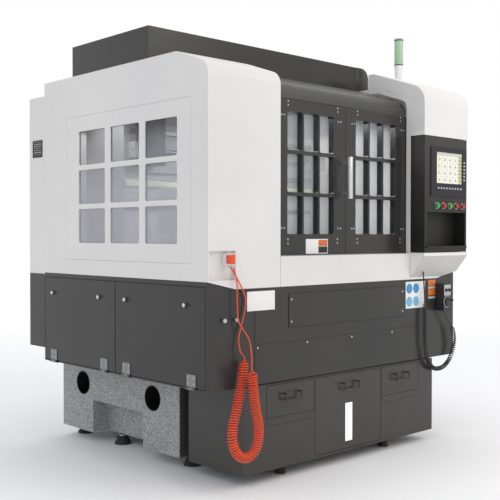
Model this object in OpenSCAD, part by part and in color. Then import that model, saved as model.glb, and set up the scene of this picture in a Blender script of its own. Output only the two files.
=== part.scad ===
/* [Machine] */
// Width over the side covers
machine_w = 1800; // [1780:5:1840]
// Depth of the rear cabinet
rear_d = 159; // [150:1:215]
// Thickness of the cover sheets
sheet_t = 3; // [2:0.5:3]
// Gap left between neighbouring covers
seam = 2; // [1:0.5:3]
// Height of the roof above the floor
roof_z = 1915; // [1900:5:1940]
// Height of the seam between the dark and the white covers
belt_z = 915; // [905:5:925]
// Underside of the side cabinets
cabinet_z = 450; // [448:1:456]
// How far the side covers run back
side_d = 1341; // [1335:1:1345]

/* [Base] */
// How far the base stands in from the sides
base_inset = 190; // [185:1:200]
// Gap between the lower housing and the base
base_gap = 60; // [50:1:66]
// How far the base stands in from the back
base_rear_gap = 25; // [15:1:50]
// Underside of the base
base_low = 58; // [55:1:62]
// Top of the base
base_top = 740; // [735:1:745]
// Radius of the lifting bores
lift_r = 62; // [55:1:65]
// Height of the lifting bores
lift_z = 315; // [310:1:325]
// Distance of the front lifting bore behind the front plane
lift_front = 644; // [630:1:650]
// Distance of the rear lifting bore from the base's back
lift_rear_gap = 206; // [195:1:220]
// Start of the side pockets behind the front plane
pocket_front = 724; // [720:1:740]
// End of the side pockets behind the front plane
pocket_back = 1172; // [1150:1:1180]
// Top of the side pockets
pocket_z = 233; // [220:1:240]
// Depth of the side pockets
pocket_deep = 100; // [80:5:110]
// Radius of the base's foot pads
foot_r = 45; // [40:1:48]
// Height of the foot pads
foot_pad_t = 40; // [34:1:44]
// Radius of the foot studs
foot_stud_r = 14; // [10:1:16]
// How far the feet stand in from the base's sides
foot_inset = 120; // [110:1:130]

/* [Lower housing] */
// How far the lower housing stands in from the sides
housing_inset = 198; // [192:1:205]
// Depth of the lower housing
housing_d = 374; // [360:2:380]
// Underside of the lower housing
housing_low = 56; // [52:1:60]
// Top of the lower housing
housing_top = 445; // [440:1:446]
// Radius of the housing's feet
glide_r = 25; // [20:1:28]
// Width of a chip drawer
drawer_w = 310; // [290:5:312]
// Underside of the chip drawers
drawer_low = 291; // [285:1:300]
// Top of the chip drawers and of the tank front
drawer_top = 437; // [430:1:438]
// Gap between the chip drawers and the tank
drawer_gap = 9; // [8:0.5:12]
// Depth of the chip drawers
drawer_d = 345; // [320:5:350]
// How far the tank's middle stands right of the machine's middle
tank_shift = 9; // [0:1:12]
// Width of the coolant tank
tank_w = 490; // [480:1:492]
// Underside of the coolant tank
tank_low = 70; // [66:1:75]
// Width of the level glass
glass_w = 55; // [50:1:60]
// Bottom of the level glass
glass_low = 104; // [100:1:110]
// Height of the level glass
glass_h = 188; // [180:1:195]
// Width of the drawer pulls
pull_w = 104; // [90:1:120]
// Height of the drawer pulls
pull_h = 32; // [26:1:38]
// Radius of the wire of the drawer pulls
pull_r = 4; // [3:0.5:5]
// How far the drawer pulls stand out
pull_out = 22; // [18:1:28]
// Height of the drawer pulls' upper ends
pull_z = 393; // [385:1:398]

/* [Front panels] */
// Distance of the front panel's edges from the sides
panel_inset = 270; // [260:1:280]
// Height of the seam above the kick panel
kick_z = 628; // [615:1:640]
// Gap between the lower housing and the front panel
panel_gap = 7; // [5:1:9]
// Height of the top edge of the front panel
panel_top = 878; // [870:1:879]
// Left edge of the access cover
access_x = 483; // [470:1:490]
// Distance of the access cover's right edge from the right side
access_end = 452; // [445:1:465]
// Bottom of the access cover
access_low = 692; // [680:1:700]
// Height of the access cover
access_h = 154; // [145:1:160]

/* [Service doors] */
// Front edge of the front service door
service_front = 17; // [14:1:20]
// Seam between the service doors
service_mid = 683; // [675:1:690]
// Bottom of the service doors
service_low = 458; // [457:1:460]
// Top of the service doors
service_top = 892; // [885:1:895]
// Radius of the chrome knobs
knob_r = 9; // [7:0.5:10]
// How far the knobs stand out
knob_h = 16; // [14:1:18]
// Height of the knobs
knob_z = 812; // [800:1:820]
// Width of a hinge
hinge_w = 62; // [56:1:68]
// Height of the hinge leaf on the door
hinge_h = 54; // [48:1:60]
// Thickness of the hinge leaves
hinge_t = 3; // [2:0.5:3]
// Outer radius of the hinge knuckles
knuckle_r = 5.5; // [5:0.1:6]
// Radius of the hinge pins
pin_r = 2.5; // [2:0.1:3]
// Running clearance around pins and shafts
run_gap = 0.05; // [0.03:0.01:0.08]

/* [Covers] */
// Width of the left front column
column_w = 430; // [425:1:435]
// Width of the console column
console_w = 400; // [396:1:404]
// Distance from the front plane at which the column roofs end
column_back = 415; // [410:1:416]
// Height at which the columns' slope would meet the front plane
column_corner_z = 1841; // [1835:1:1845]
// Angle of the hood slopes
slope = 19; // [18:0.5:20]
// Radius of the hood bends
bend_r = 70; // [60:1:75]
// Width of the columns' inner return
column_return = 27; // [22:1:28]
// Bottom edge of the white front
white_low = 880; // [879:1:884]
// Start of the side window frame
window_front = 112; // [105:1:120]
// Distance of the side window frame from the side cover's back edge
window_rear_gap = 220; // [216:1:231]
// Bottom of the side window frame
window_low = 990; // [980:1:1000]
// Top of the side window frame
window_top = 1709; // [1700:1:1715]
// Distance of the last pane from the frame's back edge
pane_rear_gap = 114; // [105:1:120]
// Height of a side window pane
pane_h = 169; // [160:1:172]
// Width of the upright bars of the side window
pane_bar_w = 45; // [40:1:50]
// Height of the level bars of the side window
pane_bar_h = 25; // [22:1:28]
// Distance of the first pane behind the front plane
pane_front = 209; // [200:1:215]
// Bottom of the lowest pane
pane_low = 1075; // [1065:1:1080]
// Radius of the panes' corners
pane_r = 10; // [6:1:16]
// Width of the hose niche
niche_w = 150; // [140:1:152]
// Bottom of the hose niche
niche_low = 920; // [915:1:925]
// Height of the hose niche
niche_h = 126; // [110:1:130]
// Depth of the hose niche
niche_d = 24; // [18:1:26]

/* [Doors] */
// How far the doors stand behind the front plane
door_recess = 31; // [31:1:34]
// Thickness of the doors
door_t = 35; // [30:1:36]
// Height of the door sill
sill_z = 1018; // [1015:1:1020]
// Bottom edge of the doors
door_low = 1022; // [1022:1:1024]
// Top edge of the doors
door_top = 1742; // [1735:1:1745]
// How far a closed door reaches behind its column
door_lap = 15; // [10:1:20]
// Distance of the windows from the door's visible right edge
light_far = 88; // [82:1:95]
// Height of a window opening in the doors
light_h = 178; // [170:1:182]
// Width of the upright bars in the doors
light_bar_w = 10.5; // [8:0.5:14]
// Height of the level bars in the doors
light_bar_h = 17; // [14:1:20]
// Distance of the windows from the door's visible left edge
light_edge = 76; // [70:1:80]
// Bottom of the lowest window opening
light_low = 1119; // [1110:1:1125]
// Radius of the window openings' corners
light_r = 9; // [5:1:14]
// Thickness of the window glass
pane_t = 4; // [3:0.5:5]
// Width of the frame around the door windows
light_frame = 10; // [6:1:12]
// Distance of the door handle from the place where the doors meet
handle_edge = 27; // [22:1:36]
// Bottom of the door handle
handle_low = 1292; // [1280:1:1300]
// Height of the door handle
handle_h = 202; // [190:1:210]
// Radius of the door handle's bar
handle_r = 13; // [10:0.5:15]
// How far the door handle stands out
handle_out = 52; // [44:1:58]

/* [Roof] */
// Height at which the header's slope would meet its front
header_corner_z = 1806; // [1800:1:1810]
// Height of the header's roof
header_roof_z = 1905; // [1900:1:1910]
// Front of the roof box
roof_box_front = 417; // [416:1:425]
// Back of the roof box
roof_box_back = 1061; // [1050:1:1070]
// Distance of the roof box from the right side
roof_box_gap = 260; // [240:5:280]
// Top of the roof box
roof_box_top = 2063; // [2040:1:2070]
// Radius of the roof box's rounded corner
roof_box_r = 60; // [40:5:70]

/* [Rear cabinet] */
// Top of the rear cabinet
rear_top = 1850; // [1840:1:1860]
// Underside of the rear cabinet
rear_low = 515; // [510:1:520]
// Width of the vent grille
vent_w = 100; // [90:1:105]
// Height of the vent grille
vent_h = 90; // [80:1:95]
// Distance of the vent grille from the front of the rear cabinet
vent_inset = 21; // [18:1:29]
// Bottom of the vent grille
vent_z = 1530; // [1520:1:1540]

/* [Console] */
// How far the console stands out of the front plane
console_proud = 90; // [85:1:95]
// Height of the console hood above the control box
console_h = 363; // [355:1:370]
// How far below its roof the console hood's slope would meet its front
console_drop = 117; // [110:1:122]
// Radius of the console hood's bend
console_bend_r = 100; // [90:1:105]
// Distance at which the console hood ends behind the front plane
console_back = 286; // [280:1:290]
// Distance of the control box from the console column's left edge
box_edge = 2; // [1:1:5]
// Width of the control box
box_w = 388; // [380:1:390]
// Underside of the control box
box_low = 1024; // [1022:1:1028]
// Top of the control box
box_top = 1635; // [1625:1:1640]
// Distance of the document pocket from the control box's left edge
pocket_edge = 20; // [16:1:24]
// Width of the document pocket
pocket_w = 354; // [340:1:356]
// Floor of the document pocket
pocket_low = 1057; // [1050:1:1060]
// Height of the document pocket
pocket_h = 180; // [170:1:185]
// Depth of the document pocket
pocket_d = 74; // [60:1:76]
// How far the pocket's shelf stands out
shelf_out = 8; // [5:1:10]
// Thickness of the pocket's shelf
shelf_t = 10; // [6:1:12]
// Distance of the display bezel from the control box's left edge
bezel_edge = 51; // [46:1:54]
// Width of the display bezel
bezel_w = 330; // [320:1:332]
// Bottom of the display bezel
bezel_low = 1320; // [1315:1:1325]
// Height of the display bezel
bezel_h = 263; // [255:1:270]
// Thickness of the display bezel
bezel_t = 5; // [4:0.5:6]
// Distance of the screen from the bezel's left edge
screen_edge = 51; // [47:1:55]
// Width of the screen
screen_w = 234; // [225:1:238]
// Bottom of the screen
screen_low = 1391; // [1388:1:1394]
// Height of the screen
screen_h = 165; // [160:1:168]
// Thickness of the screen
screen_t = 3; // [2:0.5:3.5]
// Width of a key
key_w = 17; // [14:1:19]
// Height of a key
key_h = 11; // [8:1:13]
// Pitch of the keys below the screen
key_pitch = 26; // [24:0.5:27]
// Pitch of the keys beside the screen
key_pitch_z = 19; // [17:0.5:20]
// How far the keys stand out of the bezel
key_out = 1; // [0.5:0.1:2]
// Height of the key row
key_z = 1360; // [1355:1:1365]
// Distance of the key column from the bezel's left edge
key_edge = 296; // [293:1:299]
// Radius of the push buttons' caps
button_r = 14; // [11:0.5:15]
// Radius of the push buttons' stems
button_stem_r = 9; // [7:0.5:10]
// How far the push buttons stand out
button_out = 14; // [12:1:16]
// Thickness of the push buttons' caps
button_cap_t = 7.5; // [6:0.5:8]
// Radius of the collars around the push buttons
collar_r = 18; // [16:0.5:19]
// Thickness of the collars
collar_t = 2.5; // [2:0.1:3]
// Height of the push buttons
button_z = 1272; // [1265:1:1280]
// Distance of the first push button from the control box's left edge
button_edge = 107; // [98:1:110]
// Pitch of the push buttons
button_pitch = 59; // [55:0.5:60]
// Clearance around the push buttons' stems
button_gap = 0.3; // [0.2:0.05:0.4]

/* [Lamp] */
// Distance of the signal lamp from the right side
lamp_edge = 155; // [140:1:200]
// Place of the signal lamp behind the front plane
lamp_y = 266; // [262:1:270]
// Radius of the lamp's lens
lamp_r = 25; // [22:0.5:28]
// Height of the lamp's base
lamp_base_h = 79; // [70:1:85]
// Height of the lamp's lens
lamp_lens_h = 145; // [130:1:150]
// Thickness of the lamp's cap
lamp_cap_h = 7; // [5:1:9]

/* [Pendant] */
// Distance of the handwheel pendant's left edge from the right side
pendant_edge = 173; // [168:1:180]
// Width of the pendant
pendant_w = 70; // [64:1:74]
// Bottom of the pendant
pendant_low = 704; // [700:1:710]
// Height of the pendant
pendant_h = 146; // [140:1:150]
// Depth of the pendant
pendant_d = 50; // [44:1:54]
// Thickness of the pendant's hook plate
hook_t = 6; // [5:0.5:8]
// Radius of the handwheel dial
dial_r = 27; // [24:0.5:30]
// Thickness of the handwheel dial
dial_t = 12; // [9:0.5:14]
// Radius of the handwheel's shaft
dial_shaft_r = 5; // [4:0.5:6]

/* [Drives] */
// Left edge of the gantry's left leg
gantry_x = 200; // [195:1:205]
// Width of a gantry leg
gantry_leg_w = 220; // [200:5:230]
// Depth of the gantry
gantry_d = 350; // [330:5:370]
// Gap between the gantry and the rear cabinet
gantry_rear_gap = 91; // [80:1:100]
// Underside of the gantry's beam
beam_low = 1400; // [1390:1:1410]
// Top of the gantry's beam
beam_top = 1700; // [1690:1:1710]
// Width of the guide rails
rail_w = 22; // [20:1:24]
// Height of the guide rails
rail_h = 22; // [20:1:24]
// Distance of the X rails from the beam's edges
x_rail_edge = 50; // [45:1:55]
// Radius of the screws
screw_shaft_r = 10; // [9:0.5:11]
// Height of the bearing blocks' bodies above the rails' feet
block_h = 60; // [58:1:62]
// Width of the bearing blocks
block_w = 60; // [54:1:62]
// Length of the bearing blocks
block_l = 70; // [60:1:74]
// Clearance between blocks and rails
slide_gap = 0.3; // [0.3:0.05:0.4]
// Width of the X saddle
saddle_w = 240; // [220:5:260]
// Thickness of the X saddle and the Z head plates
plate_t = 25; // [22:1:28]
// Width of the Z head
head_w = 200; // [190:5:210]
// Length of the Z head
head_h = 260; // [240:5:270]
// Bottom of the Z head at rest
head_low = 1380; // [1370:1:1390]
// Radius of the spindle's housing
spindle_r = 50; // [45:1:52]
// Bottom of the spindle's housing
spindle_low = 1190; // [1180:1:1195]
// Length of the spindle's housing
spindle_h = 330; // [310:5:340]
// Radius of the spindle's shaft
rotor_r = 20; // [18:0.5:22]
// Length of the shaft's seat in the housing
rotor_seat = 60; // [50:1:70]
// Radius of the collet nut
collet_nut_r = 26; // [24:0.5:28]
// Height of the collet nut
collet_nut_h = 34; // [30:1:38]
// Radius of the collet's bore
collet_r = 3; // [2:0.5:4]
// Depth of the collet's bore
collet_deep = 60; // [40:1:70]
// Width of the work table
table_w = 600; // [580:5:620]
// How far the table reaches out in front of the spindle
table_reach = 145; // [135:5:155]
// Depth of the work table
table_d = 460; // [440:5:480]
// Thickness of the work table
table_t = 50; // [46:1:56]
// Width of the table's slots
slot_w = 14; // [12:1:16]
// Width of the slots' lower part
slot_t_w = 24; // [22:1:26]
// Depth of each half of a slot
slot_d = 12; // [10:1:13]
// Distance of the Y rails from the middle
y_rail_x = 200; // [190:5:210]
// Side of the motors
motor_w = 80; // [70:2:86]
// Length of the motors
motor_l = 95; // [85:1:100]

/* [Hidden] */

// Facets of round parts
$fn = 48;
// Overrun of cuts
over = 1;
// How far cushioned parts of different bodies stay apart
clear_gap = 0.3;

// Depth over all, reach of the parts beyond the covers, and the middle of the whole
machine_d = side_d + rear_d;
front_out = console_proud + button_out;
wide_mid = (machine_w - knob_h) / 2;
deep_mid = (machine_d - front_out) / 2;
mid_x = machine_w / 2;
console_x = machine_w - console_w;
door_meet = (column_w + console_x) / 2;

// A box between pairs of limits
module block(x, y, z)
  translate([x[0], y[0], z[0]])
    cube([x[1] - x[0], y[1] - y[0], z[1] - z[0]]);

// An outline in depth and height, drawn out across the machine
module along_x(x, points)
  translate([x[0], 0, 0])
    rotate([90, 0, 90])
      linear_extrude(x[1] - x[0])
        polygon(points);

// An outline in width and height, drawn out into the depth
module along_y(y, points)
  translate([0, y[1], 0])
    rotate([90, 0, 0])
      linear_extrude(y[1] - y[0])
        polygon(points);

// A round bar across the machine
module bar_x(x, y, z, r)
  translate([x[0], y, z])
    rotate([0, 90, 0])
      cylinder(h = x[1] - x[0], r = r);

// A round bar into the depth
module bar_y(x, y, z, r)
  translate([x, y[0], z])
    rotate([-90, 0, 0])
      cylinder(h = y[1] - y[0], r = r);

// An upright round bar
module bar_z(x, y, z, r)
  translate([x, y, z[0]])
    cylinder(h = z[1] - z[0], r = r);

// From the left front corner of the covers to the part's own frame
module place()
  translate([-wide_mid, -deep_mid, 0])
    children();

// Limits grown or shrunk at both ends
function grow(pair, by) = [pair[0] - by, pair[1] + by];

// Outline of a rectangle with round corners
round_steps = 4;
quarter = 90;
function round_outline(a, b, r) = [
  for (corner = [[1, 1, 0], [0, 1, 1], [0, 0, 2], [1, 0, 3]], i = [0:round_steps])
    let (turn = (corner[2] + i / round_steps) * quarter)
      [
        a[corner[0]] + r * (1 - 2 * corner[0] + cos(turn)),
        b[corner[1]] + r * (1 - 2 * corner[1] + sin(turn))
      ]
];

// Outline of a hood: upright front, bend, slope and flat roof
bend_steps = 10;
function bend_tangent(r) = r / tan((90 + slope) / 2);
function hood(front, corner_z, r, roof, back, low) = concat(
  [[front, low]],
  [for (i = [0:bend_steps])
    let (a = 180 - i * (90 - slope) / bend_steps)
      [front + r + r * cos(a), corner_z - bend_tangent(r) + r * sin(a)]],
  [[front + (roof - corner_z) / tan(slope), roof], [back, roof], [back, low]]
);

// The corner height of a hood's outline set in by a distance
function inner_corner(corner_z, by) = corner_z + by * tan(slope) - by / cos(slope);
function hood_in(front, corner_z, r, roof, back, low, by) =
  hood(front + by, inner_corner(corner_z, by), r - by, roof - by, back, low);

// Base
base_x = [base_inset, machine_w - base_inset];
base_front = housing_d + base_gap;
base_back = machine_d - base_rear_gap;
base_y = [base_front, base_back];
lift_rear = base_back - lift_rear_gap;
foot_x = [base_x[0] + foot_inset, base_x[1] - foot_inset];
foot_y = [base_front + foot_r, (pocket_front + pocket_back) / 2 + foot_inset, base_back - foot_r];

module granite_base()
  place()
    color("#8e8e8e")
      difference() {
        block(base_x, base_y, [base_low, base_top]);
        for (x = [[base_x[0] - over, base_x[0] + pocket_deep], [base_x[1] - pocket_deep, base_x[1] + over]])
          block(x, [pocket_front, pocket_back], [base_low - over, pocket_z]);
        for (y = [lift_front, lift_rear])
          bar_x(grow(base_x, over), y, lift_z, lift_r);
      }

foot_rim_t = 6;
foot_neck_share = 0.58;
module foot(x, y, r, top, stud_r) {
  bar_z(x, y, [0, foot_rim_t], r);
  translate([x, y, foot_rim_t])
    cylinder(h = foot_pad_t - foot_rim_t, r1 = r, r2 = r * foot_neck_share);
  bar_z(x, y, [foot_pad_t, top], stud_r);
}

// Lower housing with its drawers and tank
housing_x = [housing_inset, machine_w - housing_inset];
housing_y = [0, housing_d];
drawer_z = [drawer_low, drawer_top];
tank_mid = mid_x + tank_shift;
tank_span = grow([tank_mid, tank_mid], tank_w / 2);
left_drawer = [tank_span[0] - drawer_gap - drawer_w, tank_span[0] - drawer_gap];
right_drawer = [tank_span[1] + drawer_gap, tank_span[1] + drawer_gap + drawer_w];
tank_d = drawer_d + sheet_t;
shelf_below = 6;
crease_drop = 35;
crease_z = drawer_low - crease_drop;
inside_y = [sheet_t, housing_d - sheet_t];
strut_w = 40;
strut_low = 200;
strut_h = 60;

// A sheet box with one or more sides left open by overrunning limits
module hollow(x, y, z, open_x = [0, 0], open_y = [0, 0], open_z = [0, 0])
  difference() {
    block(x, y, z);
    block(
      [x[0] + sheet_t - open_x[0], x[1] - sheet_t + open_x[1]],
      [y[0] + sheet_t - open_y[0], y[1] - sheet_t + open_y[1]],
      [z[0] + sheet_t - open_z[0], z[1] - sheet_t + open_z[1]]
    );
  }
wide_open = 2 * sheet_t;

// A bent wire pull on a front face
pull_corner_share = 1.1;
module pull(x) {
  for (side = [-1, 1]) {
    bar_y(x + side * pull_w / 2, [-pull_out, sheet_t], pull_z, pull_r);
    bar_z(x + side * pull_w / 2, -pull_out, [pull_z - pull_h, pull_z], pull_r);
    for (z = [pull_z - pull_h, pull_z])
      translate([x + side * pull_w / 2, -pull_out, z])
        sphere(pull_r * pull_corner_share);
  }
  bar_x(grow([x, x], pull_w / 2), -pull_out, pull_z - pull_h, pull_r);
}

module lower_housing()
  place()
    color("#4a4946") {
      difference() {
        hollow(housing_x, housing_y, [housing_low, housing_top]);
        for (x = [left_drawer, right_drawer]) {
          block(grow(x, seam), [-over, sheet_t + over], grow(drawer_z, seam));
          block(x, [-over, groove], [crease_z, crease_z + seam]);
          block([x[0] - groove_w, x[0]], [-over, groove], [crease_z, drawer_low - 2 * seam]);
        }
        block(grow(tank_span, seam), [-over, sheet_t + over], grow([tank_low, drawer_top], seam));
      }
      for (x = [[housing_x[0] + sheet_t, left_drawer[1]], [right_drawer[0], housing_x[1] - sheet_t]])
        block(x, inside_y, [drawer_low - clear_gap - shelf_below, drawer_low - clear_gap]);
      for (x = [tank_span[0], tank_span[1] - strut_w])
        block([x, x + strut_w], inside_y, [housing_low + sheet_t, tank_low - clear_gap]);
      for (x = [panel_inset, machine_w - panel_inset - strut_w])
        block([x, x + strut_w], [housing_d, base_front], [strut_low, strut_low + strut_h]);
    }

module drawer(x)
  place()
    color("#4a4946") {
      hollow(x, [0, drawer_d], drawer_z, open_z = [0, wide_open]);
      pull((x[0] + x[1]) / 2);
    }

module left_chip_drawer() drawer(left_drawer);
module right_chip_drawer() drawer(right_drawer);

level_x = grow([tank_mid, tank_mid], glass_w / 2);
level_z = [glass_low, glass_low + glass_h];
module coolant_tank()
  place()
    color("#4a4946") {
      difference() {
        hollow(tank_span, [0, tank_d], [tank_low, drawer_top], open_z = [0, wide_open]);
        block(level_x, [-over, sheet_t + over], level_z);
      }
      pull(tank_mid);
    }

module level_glass()
  place()
    color("#ffffff")
      block(grow(level_x, light_frame), [sheet_t, sheet_t + pane_t], grow(level_z, light_frame));

glide_inset = 318;
glide_front = 85;
glide_x = grow(housing_x, -glide_inset);
glide_y = [glide_front, housing_d - glide_front];
module leveling_feet()
  place()
    color("#1b1b1c") {
      for (x = foot_x, y = foot_y)
        foot(x, y, foot_r, base_low, foot_stud_r);
      for (x = glide_x, y = glide_y)
        foot(x, y, glide_r, housing_low, foot_stud_r);
    }

// Side cabinets and the flip-down service doors
cabinet_x = [0, base_inset];
front_door_y = [service_front, service_mid - seam / 2];
rear_door_y = [service_mid + seam / 2 + seam, side_d - sheet_t];
door_z = [service_low, service_top];
service_t = 15;
slant_x = niche_w + 2 * sheet_t;
lap_w = 20;
slant_top = [[slant_x, panel_top], [0, belt_z - seam]];

module cabinet(front_top, corner_top) {
  hollow(cabinet_x, [sheet_t + seam, side_d], [cabinet_z, belt_z], open_y = [wide_open, 0]);
  along_y([0, sheet_t], concat(
    [[0, cabinet_z], [panel_inset - seam, cabinet_z], [panel_inset - seam, panel_top]], front_top));
  block([0, sheet_t], [0, sheet_t + seam + over], [cabinet_z, corner_top]);
  block(grow([panel_inset, panel_inset], lap_w), [sheet_t, 2 * sheet_t], [cabinet_z, panel_top]);
  block([0, panel_inset], [sheet_t, 2 * sheet_t], [cabinet_z, cabinet_z + lap_w]);
}

module left_cabinet()
  place()
    color("#4b494c")
      difference() {
        cabinet(slant_top, belt_z - wide_open);
        for (y = [front_door_y, rear_door_y])
          block([-over, sheet_t + over], grow(y, seam), grow(door_z, seam));
      }

module right_cabinet()
  place()
    color("#4b494c")
      translate([machine_w, 0, 0])
        mirror([1, 0, 0])
          cabinet(slant_top, belt_z - wide_open);

module service_door(y)
  place()
    color("#4b494c")
      hollow([0, service_t], y, door_z, open_x = [0, wide_open]);

module front_service_door() service_door(front_door_y);
module rear_service_door() service_door(rear_door_y);

// Hinges: the leaf on the door turns on a pin held by the base on the cabinet
hinge_inset = 92;
knob_inset = [128, 91];
hinge_y = [
  front_door_y[0] + hinge_inset, front_door_y[1] - hinge_inset,
  rear_door_y[0] + hinge_inset, rear_door_y[1] - hinge_inset
];
knob_y = [
  front_door_y[0] + knob_inset[0], front_door_y[1] - knob_inset[1],
  rear_door_y[0] + knob_inset[0], rear_door_y[1] - knob_inset[1]
];
hinge_x = -knuckle_r;
hinge_drop = 4;
hinge_z = service_low - hinge_drop;
knuckle_l = 24;
knuckle_end = knuckle_l / 2 + slide_gap;
neck_z = hinge_z + knuckle_r + seam;
leg_l = 24;

module hinge_leaf(y) {
  block([-hinge_t, 0], grow([y, y], hinge_w / 2), [neck_z, neck_z + hinge_h]);
  difference() {
    union() {
      block([-hinge_t, 0], grow([y, y], knuckle_l / 2), [hinge_z, neck_z]);
      bar_y(hinge_x, grow([y, y], knuckle_l / 2), hinge_z, knuckle_r);
    }
    bar_y(hinge_x, grow([y, y], knuckle_l), hinge_z, pin_r + run_gap);
  }
}

module door_fittings(first)
  place()
    color("#b9bcbf")
      for (i = [first, first + 1]) {
        hinge_leaf(hinge_y[i]);
        bar_x([-knob_h, 0], knob_y[i], knob_z, knob_r);
      }

module front_door_fittings() door_fittings(0);
module rear_door_fittings() door_fittings(2);

module hinge_bases()
  place()
    color("#b9bcbf")
      for (y = hinge_y) {
        bar_y(hinge_x, grow([y, y], hinge_w / 2), hinge_z, pin_r);
        for (half = [[y - hinge_w / 2, y - knuckle_end], [y + knuckle_end, y + hinge_w / 2]]) {
          bar_y(hinge_x, half, hinge_z, knuckle_r);
          block([-hinge_t, 0], half, [cabinet_z - hinge_t, hinge_z]);
          block([-hinge_t, leg_l], half, [cabinet_z - hinge_t, cabinet_z]);
        }
      }

// Front panel and access cover
panel_x = [panel_inset, machine_w - panel_inset];
groove = 1.5;
groove_w = 3;
access_span = [access_x, machine_w - access_end];
access_z = [access_low, access_low + access_h];
module front_panel()
  place()
    color("#4a4946")
      difference() {
        block(panel_x, [0, sheet_t], [housing_top + panel_gap, panel_top]);
        block(grow(panel_x, over), [-over, groove], [kick_z, kick_z + seam]);
        difference() {
          block(grow(access_span, groove_w), [-over, groove], grow(access_z, groove_w));
          block(access_span, [-2 * over, groove + over], access_z);
        }
      }

module access_cover()
  place()
    color("#4a4946")
      block(access_span, [-sheet_t, 0], access_z);

// Apron and track below the doors
apron_x = [column_w + seam, console_x - seam];
sill_back = 80;
sill_front = column_return + over;
module front_apron()
  place()
    color("#e4e1dc") {
      block(apron_x, [0, sheet_t], [white_low, sill_z]);
      block(apron_x, [0, sill_back], [sill_z - sheet_t, sill_z]);
      block([sheet_t, machine_w - sheet_t], [sill_front, sill_back], [sill_z - sheet_t, sill_z]);
      block(apron_x, [0, column_return], [white_low, white_low + sheet_t]);
    }

track_edge = 7;
track_y = [door_recess + track_edge, door_recess + door_t - track_edge];
track_inset = 12;
module door_track()
  place()
    color("#2c2d2f")
      block([track_inset, machine_w - track_inset], track_y, [sill_z, door_low - clear_gap]);

// White side covers
column_profile = hood(0, column_corner_z, bend_r, roof_z, column_back, white_low);
side_profile = hood(0, column_corner_z, bend_r, roof_z, side_d, belt_z);
window_back = side_d - window_rear_gap;
niche_x = [2 * sheet_t, 2 * sheet_t + niche_w];
niche_z = [niche_low, niche_low + niche_h];

// A bent front sheet with the given return along its inner edge
module column_wrap(x, inner_edge) {
  difference() {
    along_x(x, column_profile);
    along_x(grow(x, over), hood_in(
      0, column_corner_z, bend_r, roof_z, column_back + over, white_low - over, sheet_t));
  }
  difference() {
    along_x(inner_edge, column_profile);
    along_x(grow(inner_edge, over), hood_in(
      0, column_corner_z, bend_r, roof_z, column_back + over, white_low - over, column_return));
  }
}

// The room below the slanted lower edge of a cover
module slant_cut(depth)
  along_y([-console_proud - over, depth + over], [
    [-over, white_low - over], [slant_x, white_low - over], [slant_x, white_low],
    [0, belt_z], [-over, belt_z]
  ]);

module left_cover()
  place()
    color("#e4e1dc") {
      difference() {
        union() {
          along_x([0, sheet_t], side_profile);
          column_wrap([0, column_w], [column_w - sheet_t, column_w]);
        }
        block([-over, sheet_t + over], [window_front, window_back], [window_low, window_top]);
        block(niche_x, [-over, sheet_t + over], niche_z);
        slant_cut(column_return);
      }
      difference() {
        block(grow(niche_x, sheet_t), [0, niche_d], grow(niche_z, sheet_t));
        block(niche_x, [-over, niche_d - sheet_t], niche_z);
      }
    }

chin_front_z = [1005, box_low - seam];
chin_back_z = 890;
module right_cover()
  place()
    color("#e4e1dc") {
      along_x([machine_w - sheet_t, machine_w], side_profile);
      difference() {
        union() {
          column_wrap([console_x, machine_w], [console_x, console_x + sheet_t]);
          along_x([console_x, machine_w], [
            [-console_proud, chin_front_z[0]], [0, chin_back_z],
            [0, chin_front_z[1]], [-console_proud, chin_front_z[1]]
          ]);
        }
        along_x([console_x + sheet_t, machine_w - sheet_t], [
          [sheet_t - console_proud, chin_front_z[0] + sheet_t], [0, belt_z + 2 * sheet_t],
          [0, chin_front_z[1] - sheet_t], [sheet_t - console_proud, chin_front_z[1] - sheet_t]
        ]);
        translate([machine_w, 0, 0])
          mirror([1, 0, 0])
            slant_cut(column_return);
      }
    }

// Side window
window_y = grow([window_front, window_back], -over);
window_z = grow([window_low, window_top], -over);
lip_w = 15;
pane_last = 2;
pane_y = [pane_front, window_back - pane_rear_gap];
pane_w = (pane_y[1] - pane_y[0] - pane_last * pane_bar_w) / 3;
pane_z = [pane_low, pane_low + 3 * pane_h + pane_last * pane_bar_h];
module window_frame()
  place()
    color("#dcdcdc")
      difference() {
        union() {
          block([0, sheet_t], window_y, window_z);
          block([sheet_t, 2 * sheet_t], grow(window_y, lip_w), grow(window_z, lip_w));
        }
        for (i = [0:pane_last], j = [0:pane_last])
          translate([0, i * (pane_w + pane_bar_w), j * (pane_h + pane_bar_h)])
            along_x([-over, 2 * sheet_t + over], round_outline(
              [pane_front, pane_front + pane_w], [pane_low, pane_low + pane_h], pane_r));
      }

module window_glass()
  place()
    color("#b3bac4", 0.4)
      block([2 * sheet_t, 2 * sheet_t + pane_t], grow(pane_y, lip_w), grow(pane_z, lip_w));

// Air outlet in the niche and the hooks below
outlet_x = [94, 126];
outlet_out = 30;
outlet_z = [985, 1036];
hook_at = [[84, 749], [154, 749]];
hook_r = 5;
hook_out = 10;
hook_head_r = 9;
hook_head_t = 5;
module hose_fittings()
  place()
    color("#c8c8c8") {
      block(outlet_x, [-outlet_out, niche_d - sheet_t], outlet_z);
      for (at = hook_at) {
        bar_y(at[0], [-hook_out, 0], at[1], hook_r);
        bar_y(at[0], [-hook_out - hook_head_t, -hook_out], at[1], hook_head_r);
      }
    }

// Sliding doors
door_y = [door_recess, door_recess + door_t];
left_door_x = [column_w - door_lap, door_meet - seam / 2];
right_door_x = [door_meet + seam / 2, console_x + door_lap];
light_w = (door_meet - column_w - light_edge - light_far - pane_last * light_bar_w) / 3;
light_z = [light_low, light_low + 3 * light_h + pane_last * light_bar_h];
rim_w = 12;
function light_x(start) = [start + light_edge, start + light_edge + 3 * light_w + pane_last * light_bar_w];

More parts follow.
